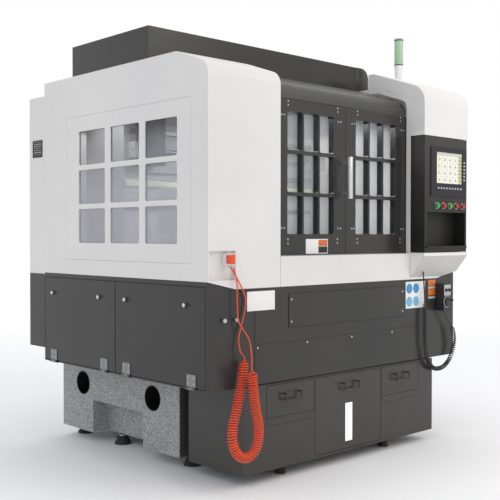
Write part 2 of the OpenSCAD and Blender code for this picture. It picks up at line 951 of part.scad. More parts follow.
module sliding_door(x, start)
  place()
    color("#4a4946")
      difference() {
        union() {
          difference() {
            block(x, door_y, [door_low, door_top]);
            block(
              grow(x, -rim_w), [door_y[0] + sheet_t, door_y[1] + over], grow([door_low, door_top], -rim_w));
          }
          block(grow(light_x(start), light_frame), door_y, grow(light_z, light_frame));
        }
        for (i = [0:pane_last], j = [0:pane_last])
          translate([i * (light_w + light_bar_w), 0, j * (light_h + light_bar_h)])
            along_y(grow(door_y, over), round_outline(
              [start + light_edge, start + light_edge + light_w], [light_low, light_low + light_h],
              light_r));
      }

module door_pane(start)
  place()
    color("#c9cfdd", 0.4)
      block(grow(light_x(start), light_frame), [door_y[1], door_y[1] + pane_t], grow(light_z, light_frame));

module left_door() sliding_door(left_door_x, column_w);
module right_door() sliding_door(right_door_x, door_meet);
module left_door_glass() door_pane(column_w);
module right_door_glass() door_pane(door_meet);

handle_x = door_meet - handle_edge;
handle_post_share = 0.6;
module door_handle()
  place()
    color("#c4c7c9") {
      bar_z(handle_x, door_recess - handle_out, [handle_low, handle_low + handle_h], handle_r);
      for (z = [handle_low + 2 * handle_r, handle_low + handle_h - 2 * handle_r])
        bar_y(handle_x, [door_recess - handle_out, door_recess], z, handle_r * handle_post_share);
    }

// Roof
header_x = [column_w + seam, console_x - seam];
header_low = door_top + seam;
header_r = bend_r - column_return / 5;
roof_y = [column_back, side_d];
roof_hole_inset = 300;
roof_hole_edge = 32;
roof_hole_x = [roof_hole_inset, machine_w - roof_hole_inset];
roof_hole_y = grow([roof_box_front, roof_box_back], -roof_hole_edge);
module roof_hood()
  place()
    color("#4f4e4b") {
      difference() {
        along_x(header_x, hood(
          door_recess, header_corner_z, header_r, header_roof_z, column_back, header_low));
        along_x(grow(header_x, over), hood_in(
          door_recess, header_corner_z, header_r, header_roof_z, column_back - sheet_t,
          header_low - over, sheet_t));
        block(
          grow(header_x, over), [door_recess + sheet_t, column_back + over],
          [header_low - over, header_roof_z - 2 * bend_r]);
      }
      difference() {
        block([sheet_t, machine_w - sheet_t], roof_y, [roof_z - sheet_t, roof_z]);
        block(roof_hole_x, roof_hole_y, grow([roof_z - sheet_t, roof_z], over));
      }
      block(header_x, [column_back - sheet_t, column_back], [header_roof_z - sheet_t, roof_z]);
      block([sheet_t, machine_w - sheet_t], [side_d - sheet_t, side_d], [rear_top - lap_w, roof_z]);
    }

roof_box_x = [0, machine_w - roof_box_gap];
function box_outline(x, z, r) = concat(
  [[x[0], z[0]], [x[1], z[0]]],
  [for (i = [0:bend_steps])
    let (a = i * 90 / bend_steps)
      [x[1] - r + r * cos(a), z[1] - r + r * sin(a)]],
  [[x[0], z[1]]]
);
module roof_box()
  place()
    color("#5a5a57")
      difference() {
        along_y([roof_box_front, roof_box_back], box_outline(
          roof_box_x, [roof_z, roof_box_top], roof_box_r));
        along_y([roof_box_front + sheet_t, roof_box_back - sheet_t], box_outline(
          grow(roof_box_x, -sheet_t), [roof_z - over, roof_box_top - sheet_t], roof_box_r - sheet_t));
      }

// Rear cabinet
rear_y = [side_d, machine_d];
rear_seam_z = 908;
vent_y = side_d + vent_inset;
vent_slots = 6;
vent_share = 0.55;
module rear_cabinet()
  place()
    color("#dcdcdc")
      difference() {
        hollow([0, machine_w], rear_y, [rear_seam_z, rear_top], open_y = [wide_open, 0]);
        for (i = [0:vent_slots - 1])
          block(
            [-over, sheet_t + over], [vent_y, vent_y + vent_w],
            [vent_z + i * vent_h / vent_slots, vent_z + (i + vent_share) * vent_h / vent_slots]
          );
      }

module rear_cabinet_base()
  place()
    color("#4b494c")
      difference() {
        hollow([0, machine_w], rear_y, [rear_low, rear_seam_z], open_y = [wide_open, 0]);
        block(grow(base_x, over), [side_d - over, base_back + over], [rear_low - over, base_top]);
      }

// Console
console_roof_z = box_top + console_h;
console_corner_z = console_roof_z - console_drop;
console_profile = hood(
  -console_proud, console_corner_z, console_bend_r, console_roof_z, console_back, box_top + sheet_t);
module console_hood()
  place()
    color("#e4e1dc")
      difference() {
        along_x([console_x, machine_w], console_profile);
        along_x([console_x + sheet_t, machine_w - sheet_t], hood_in(
          -console_proud, console_corner_z, console_bend_r, console_roof_z, console_back - sheet_t,
          box_top + 2 * sheet_t, sheet_t));
        along_x(grow([console_x, machine_w], over), hood(
          0, column_corner_z, bend_r, roof_z, column_back, white_low));
      }

box_x = console_x + box_edge;
pocket_x = box_x + pocket_edge;
bezel_x = box_x + bezel_edge;
button_x = box_x + button_edge;
box_span = [box_x, box_x + box_w];
box_z = [box_low, box_top];
pocket_span = [pocket_x, pocket_x + pocket_w];
pocket_z_span = [pocket_low, pocket_low + pocket_h];
buttons = 5;
module control_box()
  place()
    color("#413f3d") {
      difference() {
        hollow(box_span, [-console_proud, 0], box_z, open_y = [0, wide_open]);
        block(pocket_span, [-console_proud - over, sheet_t - console_proud + over], pocket_z_span);
        for (i = [0:buttons - 1])
          bar_y(
            button_x + i * button_pitch, [-console_proud - over, 0], button_z, button_stem_r + button_gap);
      }
      difference() {
        block(
          grow(pocket_span, sheet_t), [-console_proud, pocket_d + sheet_t - console_proud],
          grow(pocket_z_span, sheet_t));
        block(pocket_span, [-console_proud - over, pocket_d - console_proud], pocket_z_span);
      }
      block(
        grow(pocket_span, shelf_out), [-console_proud - shelf_out, -console_proud],
        [pocket_low - shelf_t, pocket_low]
      );
      for (i = [0:buttons - 1])
        difference() {
          bar_y(
            button_x + i * button_pitch, [-console_proud - collar_t, -console_proud], button_z, collar_r);
          bar_y(
            button_x + i * button_pitch, grow([-console_proud - collar_t, -console_proud], over), button_z,
            button_stem_r + button_gap);
        }
    }

screen_x = bezel_x + screen_edge;
key_x = bezel_x + key_edge;
screen_span = [screen_x, screen_x + screen_w];
screen_z = [screen_low, screen_low + screen_h];
keys_below = 9;
keys_beside = 6;
module display_bezel()
  place()
    color("#2b3038") {
      difference() {
        block(
          [bezel_x, bezel_x + bezel_w], [-console_proud - bezel_t, -console_proud],
          [bezel_low, bezel_low + bezel_h]);
        block(screen_span, grow([-console_proud - bezel_t, -console_proud], over), screen_z);
      }
      for (i = [0:keys_below - 1])
        translate([screen_x + (i + 1) * key_pitch - key_pitch / 2 - key_w / 2, 0, key_z])
          block([0, key_w], [-console_proud - bezel_t - key_out, -console_proud - bezel_t], [0, key_h]);
      for (i = [0:keys_beside - 1])
        translate([key_x, 0, screen_low + (i + 1) * key_pitch_z])
          block([0, key_w], [-console_proud - bezel_t - key_out, -console_proud - bezel_t], [0, key_h]);
    }

module display_screen()
  place()
    color("#f1f0dc")
      block(screen_span, [-console_proud - screen_t, -console_proud], screen_z);

stem_in = 10;
module push_button(i, tint)
  place()
    color(tint) {
      bar_y(
        button_x + i * button_pitch, [-front_out, button_cap_t - front_out], button_z, button_r);
      bar_y(
        button_x + i * button_pitch, [-front_out, stem_in - console_proud], button_z, button_stem_r);
    }

module power_on_button() push_button(0, "#3c9a4e");
module power_off_button() push_button(1, "#c8382f");
module start_button() push_button(2, "#3c9a4e");
module stop_button() push_button(3, "#c8382f");
module reset_button() push_button(4, "#c8382f");

// Signal lamp
lamp_x = machine_w - lamp_edge;
lamp_taper = 6;
lens_low = console_roof_z + lamp_base_h;
module lamp_base()
  place()
    color("#ececea")
      translate([lamp_x, lamp_y, console_roof_z])
        cylinder(h = lamp_base_h, r1 = lamp_r - lamp_taper, r2 = lamp_r);

module lamp_lens()
  place()
    color("#a5cfa3")
      bar_z(lamp_x, lamp_y, [lens_low, lens_low + lamp_lens_h + lamp_cap_h], lamp_r);

// Handwheel pendant
pendant_x = machine_w - pendant_edge;
pendant_span = [pendant_x, pendant_x + pendant_w];
pendant_y = [-hook_t - pendant_d, -hook_t];
pendant_z = [pendant_low, pendant_low + pendant_h];
dial_front = pendant_y[0] - dial_t - clear_gap;
dial_x = pendant_x + pendant_w / 2;
dial_z = pendant_low + pendant_h / 3;
dial_in = 15;
module handwheel_pendant()
  place()
    color("#26282b") {
      difference() {
        block(pendant_span, pendant_y, pendant_z);
        bar_y(dial_x, [pendant_y[0] - over, pendant_y[0] + dial_in], dial_z, dial_shaft_r + run_gap);
      }
      block(grow(pendant_span, -hook_t), [-hook_t, 0], grow(pendant_z, -hook_t));
    }

module handwheel_dial()
  place()
    color("#b9bcbf") {
      bar_y(dial_x, [dial_front, dial_front + dial_t], dial_z, dial_r);
      bar_y(dial_x, [dial_front, pendant_y[0] + dial_in - clear_gap], dial_z, dial_shaft_r);
    }

// Gantry and the rails on it and on the base
gantry_span = [gantry_x, machine_w - gantry_x];
gantry_back = side_d - gantry_rear_gap;
gantry_front = gantry_back - gantry_d;
gantry_y = [gantry_front, gantry_back];
x_rail_z = [beam_low + x_rail_edge, beam_top - x_rail_edge];
y_rail_at = [mid_x - y_rail_x, mid_x + y_rail_x];
rail_inset = 20;
rail_rear_gap = 175;
y_rail_y = [base_front + rail_inset, base_back - rail_rear_gap];
module gantry_portal()
  place()
    color("#9a9b9c")
      difference() {
        block(gantry_span, gantry_y, [base_top, beam_top]);
        block(grow(gantry_span, -gantry_leg_w), grow(gantry_y, over), [base_top - over, beam_low]);
      }

module guide_rails()
  place()
    color("#b4b8bb") {
      for (z = x_rail_z)
        block(
          grow(gantry_span, -rail_inset), [gantry_front - rail_h, gantry_front], grow([z, z], rail_w / 2));
      for (x = y_rail_at)
        block(grow([x, x], rail_w / 2), y_rail_y, [base_top, base_top + rail_h]);
    }

// Screws, their bearing blocks and the motors
screw_off = motor_w / 2 + over;
bearing_l = 30;
bearing_w = 80;
bearing_over = 16;
bearing_h = screw_off + bearing_over;
x_screw_y = gantry_front - screw_off;
x_screw_z = (beam_low + beam_top) / 2;
x_screw_inset = [30, 60];
x_screw_x = [gantry_span[0] + x_screw_inset[0], gantry_span[1] - x_screw_inset[1]];
y_screw_z = base_top + screw_off;
y_screw_inset = [26, 205];
y_screw_y = [base_front + y_screw_inset[0], base_back - y_screw_inset[1]];
module x_screw()
  place()
    color("#a9adb0")
      bar_x(x_screw_x, x_screw_y, x_screw_z, screw_shaft_r);

module y_screw()
  place()
    color("#a9adb0")
      bar_y(mid_x, y_screw_y, y_screw_z, screw_shaft_r);

module axis_motors()
  place()
    color("#2f3133") {
      difference() {
        union() {
          for (x = [x_screw_x[0], x_screw_x[1] - bearing_l])
            block(
              [x, x + bearing_l], [gantry_front - bearing_h, gantry_front],
              grow([x_screw_z, x_screw_z], bearing_w / 2));
          block(
            [x_screw_x[1], x_screw_x[1] + motor_l], grow([x_screw_y, x_screw_y], motor_w / 2),
            grow([x_screw_z, x_screw_z], motor_w / 2));
        }
        bar_x(grow(x_screw_x, clear_gap), x_screw_y, x_screw_z, screw_shaft_r + run_gap);
      }
      difference() {
        union() {
          for (y = [y_screw_y[0], y_screw_y[1] - bearing_l])
            block(
              grow([mid_x, mid_x], bearing_w / 2), [y, y + bearing_l], [base_top, base_top + bearing_h]);
          block(
            grow([mid_x, mid_x], motor_w / 2), [y_screw_y[1], y_screw_y[1] + motor_l],
            grow([y_screw_z, y_screw_z], motor_w / 2));
        }
        bar_y(mid_x, grow(y_screw_y, clear_gap), y_screw_z, screw_shaft_r + run_gap);
      }
    }

// A bearing block that rides on a rail, drawn on its side with the rail's foot at the origin
module rail_block()
  difference() {
    block(grow([0, 0], block_l / 2), grow([0, 0], block_w / 2), [slide_gap, block_h]);
    block(
      grow([0, 0], block_l), grow([0, 0], rail_w / 2 + slide_gap), [-over, rail_h + slide_gap]);
  }

// X saddle with its blocks, nut, Z rails, Z bearings and Z motor
saddle_span = grow([mid_x, mid_x], saddle_w / 2);
saddle_drop = 100;
saddle_rise = 20;
saddle_z = [beam_low - saddle_drop, beam_top + saddle_rise];
saddle_y = [gantry_front - block_h - plate_t, gantry_front - block_h];
saddle_front = saddle_y[0];
block_x = saddle_w / 2 - block_l / 2;
nut_w = 60;
z_rail_off = 65;
z_rail_x = [mid_x - z_rail_off, mid_x + z_rail_off];
z_rail_z = [saddle_z[0], beam_top];
z_screw_y = saddle_front - screw_off;
z_screw_z = [saddle_z[0], saddle_z[1]];
module x_saddle()
  place()
    color("#8f9396") {
      block(saddle_span, saddle_y, saddle_z);
      for (x = [mid_x - block_x, mid_x + block_x], z = x_rail_z)
        translate([x, gantry_front, z])
          rotate([90, 0, 0])
            rail_block();
      difference() {
        block(
          grow([mid_x, mid_x], nut_w / 2), [saddle_y[1], x_screw_y + nut_w / 3],
          grow([x_screw_z, x_screw_z], nut_w / 2));
        bar_x(grow([mid_x, mid_x], nut_w), x_screw_y, x_screw_z, screw_shaft_r + run_gap);
      }
      for (x = z_rail_x)
        block(grow([x, x], rail_w / 2), [saddle_front - rail_h, saddle_front], z_rail_z);
      difference() {
        union() {
          for (z = [z_screw_z[0], z_screw_z[1] - bearing_l / 2])
            block(
              grow([mid_x, mid_x], nut_w / 2), [z_screw_y - nut_w / 4, saddle_front],
              [z, z + bearing_l / 2]);
          block(
            grow([mid_x, mid_x], motor_w / 2), grow([z_screw_y, z_screw_y], motor_w / 2),
            [z_screw_z[1], z_screw_z[1] + motor_l]);
        }
        bar_z(mid_x, z_screw_y, grow(z_screw_z, clear_gap), screw_shaft_r + run_gap);
      }
    }

module z_screw()
  place()
    color("#a9adb0")
      bar_z(mid_x, z_screw_y, z_screw_z, screw_shaft_r);

// Z head with its blocks, nut and spindle clamp
head_span = grow([mid_x, mid_x], head_w / 2);
head_y = [saddle_front - block_h - plate_t, saddle_front - block_h];
head_z = [head_low, head_low + head_h];
head_block_low = 95;
head_block_high = 45;
head_block_z = [head_low + head_block_low, head_z[1] - head_block_high];
clamp_wall = 15;
spindle_y = head_y[0] - spindle_r - clamp_wall;
clamp_edge = 20;
clamp_h = 110;
clamp_z = [head_low + clamp_edge, head_low + clamp_edge + clamp_h];
module z_head()
  place()
    color("#c9cbcc") {
      block(head_span, head_y, head_z);
      for (x = z_rail_x, z = head_block_z)
        translate([x, saddle_front, z])
          rotate([90, 0, 0])
            rotate([0, 0, 90])
              rail_block();
      difference() {
        block(
          grow([mid_x, mid_x], nut_w / 2), [head_y[1], z_screw_y + nut_w / 3],
          grow([x_screw_z, x_screw_z], nut_w / 2));
        bar_z(mid_x, z_screw_y, grow([x_screw_z, x_screw_z], nut_w), screw_shaft_r + run_gap);
      }
      difference() {
        block(
          grow([mid_x, mid_x], spindle_r + clamp_wall), [spindle_y - spindle_r - clamp_wall, head_y[0]],
          clamp_z);
        bar_z(mid_x, spindle_y, grow(clamp_z, over), spindle_r);
      }
    }

spindle_z = [spindle_low, spindle_low + spindle_h];
nose_gap = 15;
nut_z = [spindle_low - nose_gap - collet_nut_h, spindle_low - nose_gap];
module spindle_housing()
  place()
    color("#3a3d40")
      difference() {
        bar_z(mid_x, spindle_y, spindle_z, spindle_r);
        bar_z(mid_x, spindle_y, [spindle_low - over, spindle_low + rotor_seat], rotor_r + run_gap);
      }

module spindle_rotor()
  place()
    color("#c4c7c9")
      difference() {
        union() {
          bar_z(mid_x, spindle_y, [nut_z[0], spindle_low + rotor_seat - clear_gap], rotor_r);
          bar_z(mid_x, spindle_y, nut_z, collet_nut_r);
        }
        bar_z(mid_x, spindle_y, [nut_z[0] - over, nut_z[0] + collet_deep], collet_r);
      }

// Slotted work table on its blocks
table_span = grow([mid_x, mid_x], table_w / 2);
table_front = spindle_y - table_reach;
table_y = [table_front, table_front + table_d];
table_z = [base_top + block_h, base_top + block_h + table_t];
table_mid = table_front + table_d / 2;
slots = 3;
slot_z = table_z[1] - slot_d;
module work_table()
  place()
    color("#a3a6a8") {
      difference() {
        block(table_span, table_y, table_z);
        for (i = [1:slots])
          let (y = table_front + i * table_d / (slots + 1)) {
            block(grow(table_span, over), grow([y, y], slot_w / 2), [slot_z - over, table_z[1] + over]);
            block(grow(table_span, over), grow([y, y], slot_t_w / 2), [slot_z - slot_d, slot_z]);
          }
      }
      for (x = y_rail_at, y = [table_front + block_w, table_y[1] - block_w])
        translate([x, y, base_top])
          rotate([0, 0, 90])
            rail_block();
      difference() {
        block(
          grow([mid_x, mid_x], nut_w / 2), grow([table_mid, table_mid], nut_w / 2),
          [y_screw_z - nut_w / 3, table_z[0]]);
        bar_y(mid_x, grow([table_mid, table_mid], nut_w), y_screw_z, screw_shaft_r + run_gap);
      }
    }

// Sheet that leads chips from the base to the drawers
tray_inset = 300;
tray_low = [70, 470];
tray_high = 700;
module chip_tray()
  place()
    color("#b4b8bb")
      along_x([tray_inset, machine_w - tray_inset], [
        tray_low, [base_front, tray_high], [base_front, tray_high + 2 * sheet_t], tray_low + [0, 2 * sheet_t]
      ]);

// Cords: rings around the points of a route, each with its own radius
ring_sides = 10;
function unit(v) = v / norm(v);
function heading(route, i) = unit(
  route[min(i + 1, len(route) - 1)] - route[max(i - 1, 0)]
);
function ring(at, along, r) =
  let (side = unit(cross(along, [0, 1, 0])), lift = cross(side, along))
    [for (k = [0:ring_sides - 1])
      at + r * (side * cos(k * 360 / ring_sides) + lift * sin(k * 360 / ring_sides))];
module cord(route, radii)
  polyhedron(
    points = [for (i = [0:len(route) - 1]) each ring(route[i], heading(route, i), radii[i])],
    faces = concat(
      [[for (k = [0:ring_sides - 1]) k]],
      [for (i = [0:len(route) - 2], k = [0:ring_sides - 1])
        let (a = i * ring_sides + k, b = i * ring_sides + (k + 1) % ring_sides)
          [a, a + ring_sides, b]],
      [for (i = [0:len(route) - 2], k = [0:ring_sides - 1])
        let (a = i * ring_sides + k, b = i * ring_sides + (k + 1) % ring_sides)
          [b, a + ring_sides, b + ring_sides]],
      [[for (k = [ring_sides - 1:-1:0]) (len(route) - 1) * ring_sides + k]]
    )
  );

// Air hose: a thin lead, the curly stretch and a second lead
hose_r = 3;
air_r = 24;
air_lead = [
  [112, -8, 985], [131, -9, 961], [174, -10, 901], [204, -11, 840], [198, -12, 788], [178, -12, 722],
  [159, -16, 664], [162, -24, 613]
];
air_coil = [
  [178, -32, 582], [166, -32, 516], [152, -33, 437], [128, -36, 359], [105, -40, 298], [97, -46, 241],
  [114, -52, 187], [155, -58, 159], [199, -64, 171], [223, -70, 220], [221, -76, 293], [201, -80, 363],
  [185, -84, 435], [174, -88, 493]
];
air_tail = [
  [170, -88, 542], [184, -70, 608], [190, -48, 665], [169, -32, 709], [149, -26, 747], [143, -24, 829],
  [143, -22, 917], [118, -24, 985]
];
air_route = concat(air_lead, air_coil, air_tail);
air_radii = concat(
  [for (i = air_lead) hose_r], [for (i = air_coil) air_r], [for (i = air_tail) hose_r]
);
module air_hose()
  place()
    color("#e8572b")
      cord(air_route, air_radii);

// Cord of the handwheel pendant
pendant_cord_r = 13;
pendant_bends = [
  [84, -24, 920], [90, -24, 860], [98, -24, 770], [100, -24, 680], [100, -24, 590], [106, -24, 520],
  [126, -24, 450], [164, -24, 404], [214, -24, 388], [276, -26, 396], [332, -28, 438], [362, -30, 503],
  [358, -32, 565], [330, -32, 625], [290, -31, 668], [262, -31, 703]
];
pendant_route = [for (bend = pendant_bends) bend + [console_x, 0, 0]];
module pendant_cord()
  place()
    color("#242527")
      cord(pendant_route, [for (i = pendant_route) pendant_cord_r]);

granite_base();
leveling_feet();
lower_housing();
coolant_tank();
level_glass();
left_chip_drawer();
right_chip_drawer();
left_cabinet();
right_cabinet();
front_service_door();
rear_service_door();
front_door_fittings();
rear_door_fittings();
hinge_bases();
front_panel();
access_cover();
front_apron();
door_track();
left_cover();
right_cover();
window_frame();
window_glass();
hose_fittings();
left_door();
right_door();
left_door_glass();
right_door_glass();
door_handle();
roof_hood();
roof_box();
rear_cabinet();
rear_cabinet_base();
console_hood();
control_box();
display_bezel();
display_screen();
power_on_button();
power_off_button();
start_button();
stop_button();
reset_button();
lamp_base();
lamp_lens();
handwheel_pendant();
handwheel_dial();
gantry_portal();
guide_rails();
axis_motors();
x_screw();
y_screw();
z_screw();
x_saddle();
z_head();
spindle_housing();
spindle_rotor();
work_table();
chip_tray();
air_hose();
pendant_cord();
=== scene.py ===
import math

import bmesh
import bpy
from mathutils import Matrix, Vector


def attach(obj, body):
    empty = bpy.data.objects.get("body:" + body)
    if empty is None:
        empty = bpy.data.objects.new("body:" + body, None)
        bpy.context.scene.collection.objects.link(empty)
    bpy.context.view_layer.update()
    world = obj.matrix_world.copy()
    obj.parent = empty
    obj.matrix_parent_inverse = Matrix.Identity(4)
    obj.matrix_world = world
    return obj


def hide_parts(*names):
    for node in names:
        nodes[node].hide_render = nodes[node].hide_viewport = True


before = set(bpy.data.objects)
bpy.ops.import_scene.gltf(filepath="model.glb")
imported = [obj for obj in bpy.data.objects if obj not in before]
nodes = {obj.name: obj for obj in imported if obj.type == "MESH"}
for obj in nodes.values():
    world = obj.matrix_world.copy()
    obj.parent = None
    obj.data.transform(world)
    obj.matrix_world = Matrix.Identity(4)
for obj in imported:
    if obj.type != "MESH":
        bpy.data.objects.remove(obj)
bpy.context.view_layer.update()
print("frame:", len(nodes), "nodes")

# places are given in millimetres from the left front corner of the covers, as on a drawing
machine = {"wideMid": 892, "deepMid": 698, "mm": 0.001}


def spot(x, y, z):
    return Vector((x - machine["wideMid"], y - machine["deepMid"], z)) * machine["mm"]


def size(length):
    return length * machine["mm"]


def tone(code):  # a screen colour as linear light
    parts = [int(code[i:i + 2], 16) / 255 for i in (1, 3, 5)]
    return [c / 12.92 if c <= 0.04045 else ((c + 0.055) / 1.055) ** 2.4 for c in parts] + [1.0]


# camera at the photo's place
camera = {"at": (-2350, -2774, 1113), "yaw": 43.044, "pitch": -0.968, "roll": -0.05, "lens": 62.43,
          "sensor": 36, "far": 60}


def makeCamera():
    data = bpy.data.cameras.new("camera")
    data.lens = camera["lens"]
    data.sensor_width = camera["sensor"]
    data.clip_end = camera["far"]
    eye = bpy.data.objects.new("camera", data)
    eye.location = spot(*camera["at"])
    turn = (90 + camera["pitch"], camera["roll"], -camera["yaw"])
    eye.rotation_euler = [math.radians(angle) for angle in turn]
    bpy.context.collection.objects.link(eye)
    bpy.context.scene.camera = eye


makeCamera()

# shader helpers: each adds one step to a node tree


def newSkin(name, inputs):  # a group that puts out colour, roughness and height
    tree = bpy.data.node_groups.new(name, "ShaderNodeTree")
    for label, kind, value in inputs:
        socket = tree.interface.new_socket(label, in_out="INPUT", socket_type="NodeSocket" + kind)
        socket.default_value = value
    for label, kind in (("Color", "Color"), ("Roughness", "Float"), ("Height", "Float")):
        tree.interface.new_socket(label, in_out="OUTPUT", socket_type="NodeSocket" + kind)
    return tree, tree.nodes.new("NodeGroupInput"), tree.nodes.new("NodeGroupOutput")


def plug(tree, value, socket):  # links an output, or sets a plain value on the socket itself
    if hasattr(value, "links"):
        tree.links.new(value, socket)
    else:
        socket.default_value = value


def objectPlace(tree):
    return tree.nodes.new("ShaderNodeTexCoord").outputs["Object"]


def addNoise(tree, where, scale, detail):
    noise = tree.nodes.new("ShaderNodeTexNoise")
    noise.inputs["Detail"].default_value = detail
    tree.links.new(where, noise.inputs["Vector"])
    plug(tree, scale, noise.inputs["Scale"])
    return noise.outputs["Fac"]


def addMix(tree, factor, first, second):
    mix = tree.nodes.new("ShaderNodeMix")
    mix.data_type = "RGBA"
    for value, place in ((factor, 0), (first, 6), (second, 7)):  # the sockets of a colour mix
        plug(tree, value, mix.inputs[place])
    return mix.outputs[2]


def addMath(tree, operation, *values):
    step = tree.nodes.new("ShaderNodeMath")
    step.operation = operation
    for socket, value in zip(step.inputs, values):
        plug(tree, value, socket)
    return step.outputs[0]


def addRange(tree, value, low, high, toLow=0.0, toHigh=1.0):
    ranged = tree.nodes.new("ShaderNodeMapRange")
    tree.links.new(value, ranged.inputs["Value"])
    for label, number in (("From Min", low), ("From Max", high), ("To Min", toLow), ("To Max", toHigh)):
        ranged.inputs[label].default_value = number
    return ranged.outputs["Result"]


# shader groups; a noise is given as scale and detail, a range as from and to
paintSkin = {"cloud": (1.8, 4.0), "cloudRange": (0.35, 0.65), "peelDetail": 3.0, "smear": (9.0, 3.0)}
metalGrain = {"streak": (1.0, 3.0), "streakRange": (0.3, 0.7), "cloud": (12.0, 3.0)}
stoneFleck = {"lightRange": (0.60, 0.72), "darkRange": (0.62, 0.74), "cloud": (26.0, 5.0),
              "cloudRange": (0.25, 0.75, 0.30, -0.05), "roughRange": (0.0, 1.0, 0.45, 0.75)}


def linkRoughness(tree, into, out, first, second):  # two noises swing the roughness around its mean
    swing = addMath(tree, "SUBTRACT", addMath(tree, "ADD", first, second), 1.0)
    rough = addMath(tree, "MULTIPLY_ADD", swing, into.outputs["Spread"], into.outputs["Rough"])
    tree.links.new(rough, out.inputs["Roughness"])


def makePaintSkin():  # soft clouds in the colour, fine peel in the gloss and the height
    tree, into, out = newSkin("paintSkin", [
        ("Base", "Color", tone("#808080")), ("Shade", "Color", tone("#707070")),
        ("Grain", "Float", 500.0), ("Rough", "Float", 0.35), ("Spread", "Float", 0.2)])
    place = objectPlace(tree)
    cloud = addRange(tree, addNoise(tree, place, *paintSkin["cloud"]), *paintSkin["cloudRange"])
    peel = addNoise(tree, place, into.outputs["Grain"], paintSkin["peelDetail"])
    smear = addNoise(tree, place, *paintSkin["smear"])
    colour = addMix(tree, cloud, into.outputs["Base"], into.outputs["Shade"])
    tree.links.new(colour, out.inputs["Color"])
    linkRoughness(tree, into, out, peel, smear)
    tree.links.new(peel, out.inputs["Height"])
    return tree


def makeMetalGrain():  # drawn out streaks along one direction
    tree, into, out = newSkin("metalGrain", [
        ("Base", "Color", tone("#B0B0B0")), ("Shade", "Color", tone("#909090")),
        ("Stretch", "Vector", (40.0, 40.0, 900.0)), ("Rough", "Float", 0.3), ("Spread", "Float", 0.2)])
    place = objectPlace(tree)
    drawn = tree.nodes.new("ShaderNodeVectorMath")
    drawn.operation = "MULTIPLY"
    tree.links.new(place, drawn.inputs[0])
    tree.links.new(into.outputs["Stretch"], drawn.inputs[1])
    streak = addNoise(tree, drawn.outputs["Vector"], *metalGrain["streak"])
    cloud = addNoise(tree, place, *metalGrain["cloud"])
    blend = addRange(tree, streak, *metalGrain["streakRange"])
    colour = addMix(tree, blend, into.outputs["Base"], into.outputs["Shade"])
    tree.links.new(colour, out.inputs["Color"])
    linkRoughness(tree, into, out, streak, cloud)
    tree.links.new(streak, out.inputs["Height"])
    return tree


def makeStoneFleck():  # grains of three tones
    tree, into, out = newSkin("stoneFleck", [
        ("Base", "Color", tone("#8E8E8E")), ("Light", "Color", tone("#C4C4C2")),
        ("Dark", "Color", tone("#3C3C3E")), ("Grain", "Float", 190.0)])
    place = objectPlace(tree)
    grains = tree.nodes.new("ShaderNodeTexVoronoi")
    tree.links.new(place, grains.inputs["Vector"])
    tree.links.new(into.outputs["Grain"], grains.inputs["Scale"])
    pick = tree.nodes.new("ShaderNodeSeparateColor")
    tree.links.new(grains.outputs["Color"], pick.inputs[0])
    light = addRange(tree, pick.outputs[0], *stoneFleck["lightRange"])
    dark = addRange(tree, pick.outputs[1], *stoneFleck["darkRange"])
    cloud = addRange(tree, addNoise(tree, place, *stoneFleck["cloud"]), *stoneFleck["cloudRange"])
    colour = addMix(tree, light, into.outputs["Base"], into.outputs["Light"])
    for factor in (dark, cloud):
        colour = addMix(tree, factor, colour, into.outputs["Dark"])
    tree.links.new(colour, out.inputs["Color"])
    tree.links.new(addRange(tree, pick.outputs[2], *stoneFleck["roughRange"]), out.inputs["Roughness"])
    tree.links.new(grains.outputs["Distance"], out.inputs["Height"])
    return tree


groups = {"paint": makePaintSkin(), "metal": makeMetalGrain(), "stone": makeStoneFleck()}
print("groups:", len(groups))

# coats that several finishes share
coverCoat = {"group": "paint", "Grain": 420.0, "Rough": 0.42, "Spread": 0.16, "bump": 0.10}
glossCoat = {"group": "paint", "Grain": 520.0, "Rough": 0.24, "Spread": 0.10, "bump": 0.05}
plateCoat = {"group": "paint", "Grain": 900.0, "Rough": 0.34, "Spread": 0.12, "bump": 0.03}
capCoat = {"group": "paint", "Grain": 900.0, "Rough": 0.20, "Spread": 0.10, "bump": 0.03}
glassCoat = {"group": "paint", "Grain": 60.0, "Rough": 0.06, "Spread": 0.05, "bump": 0.01}

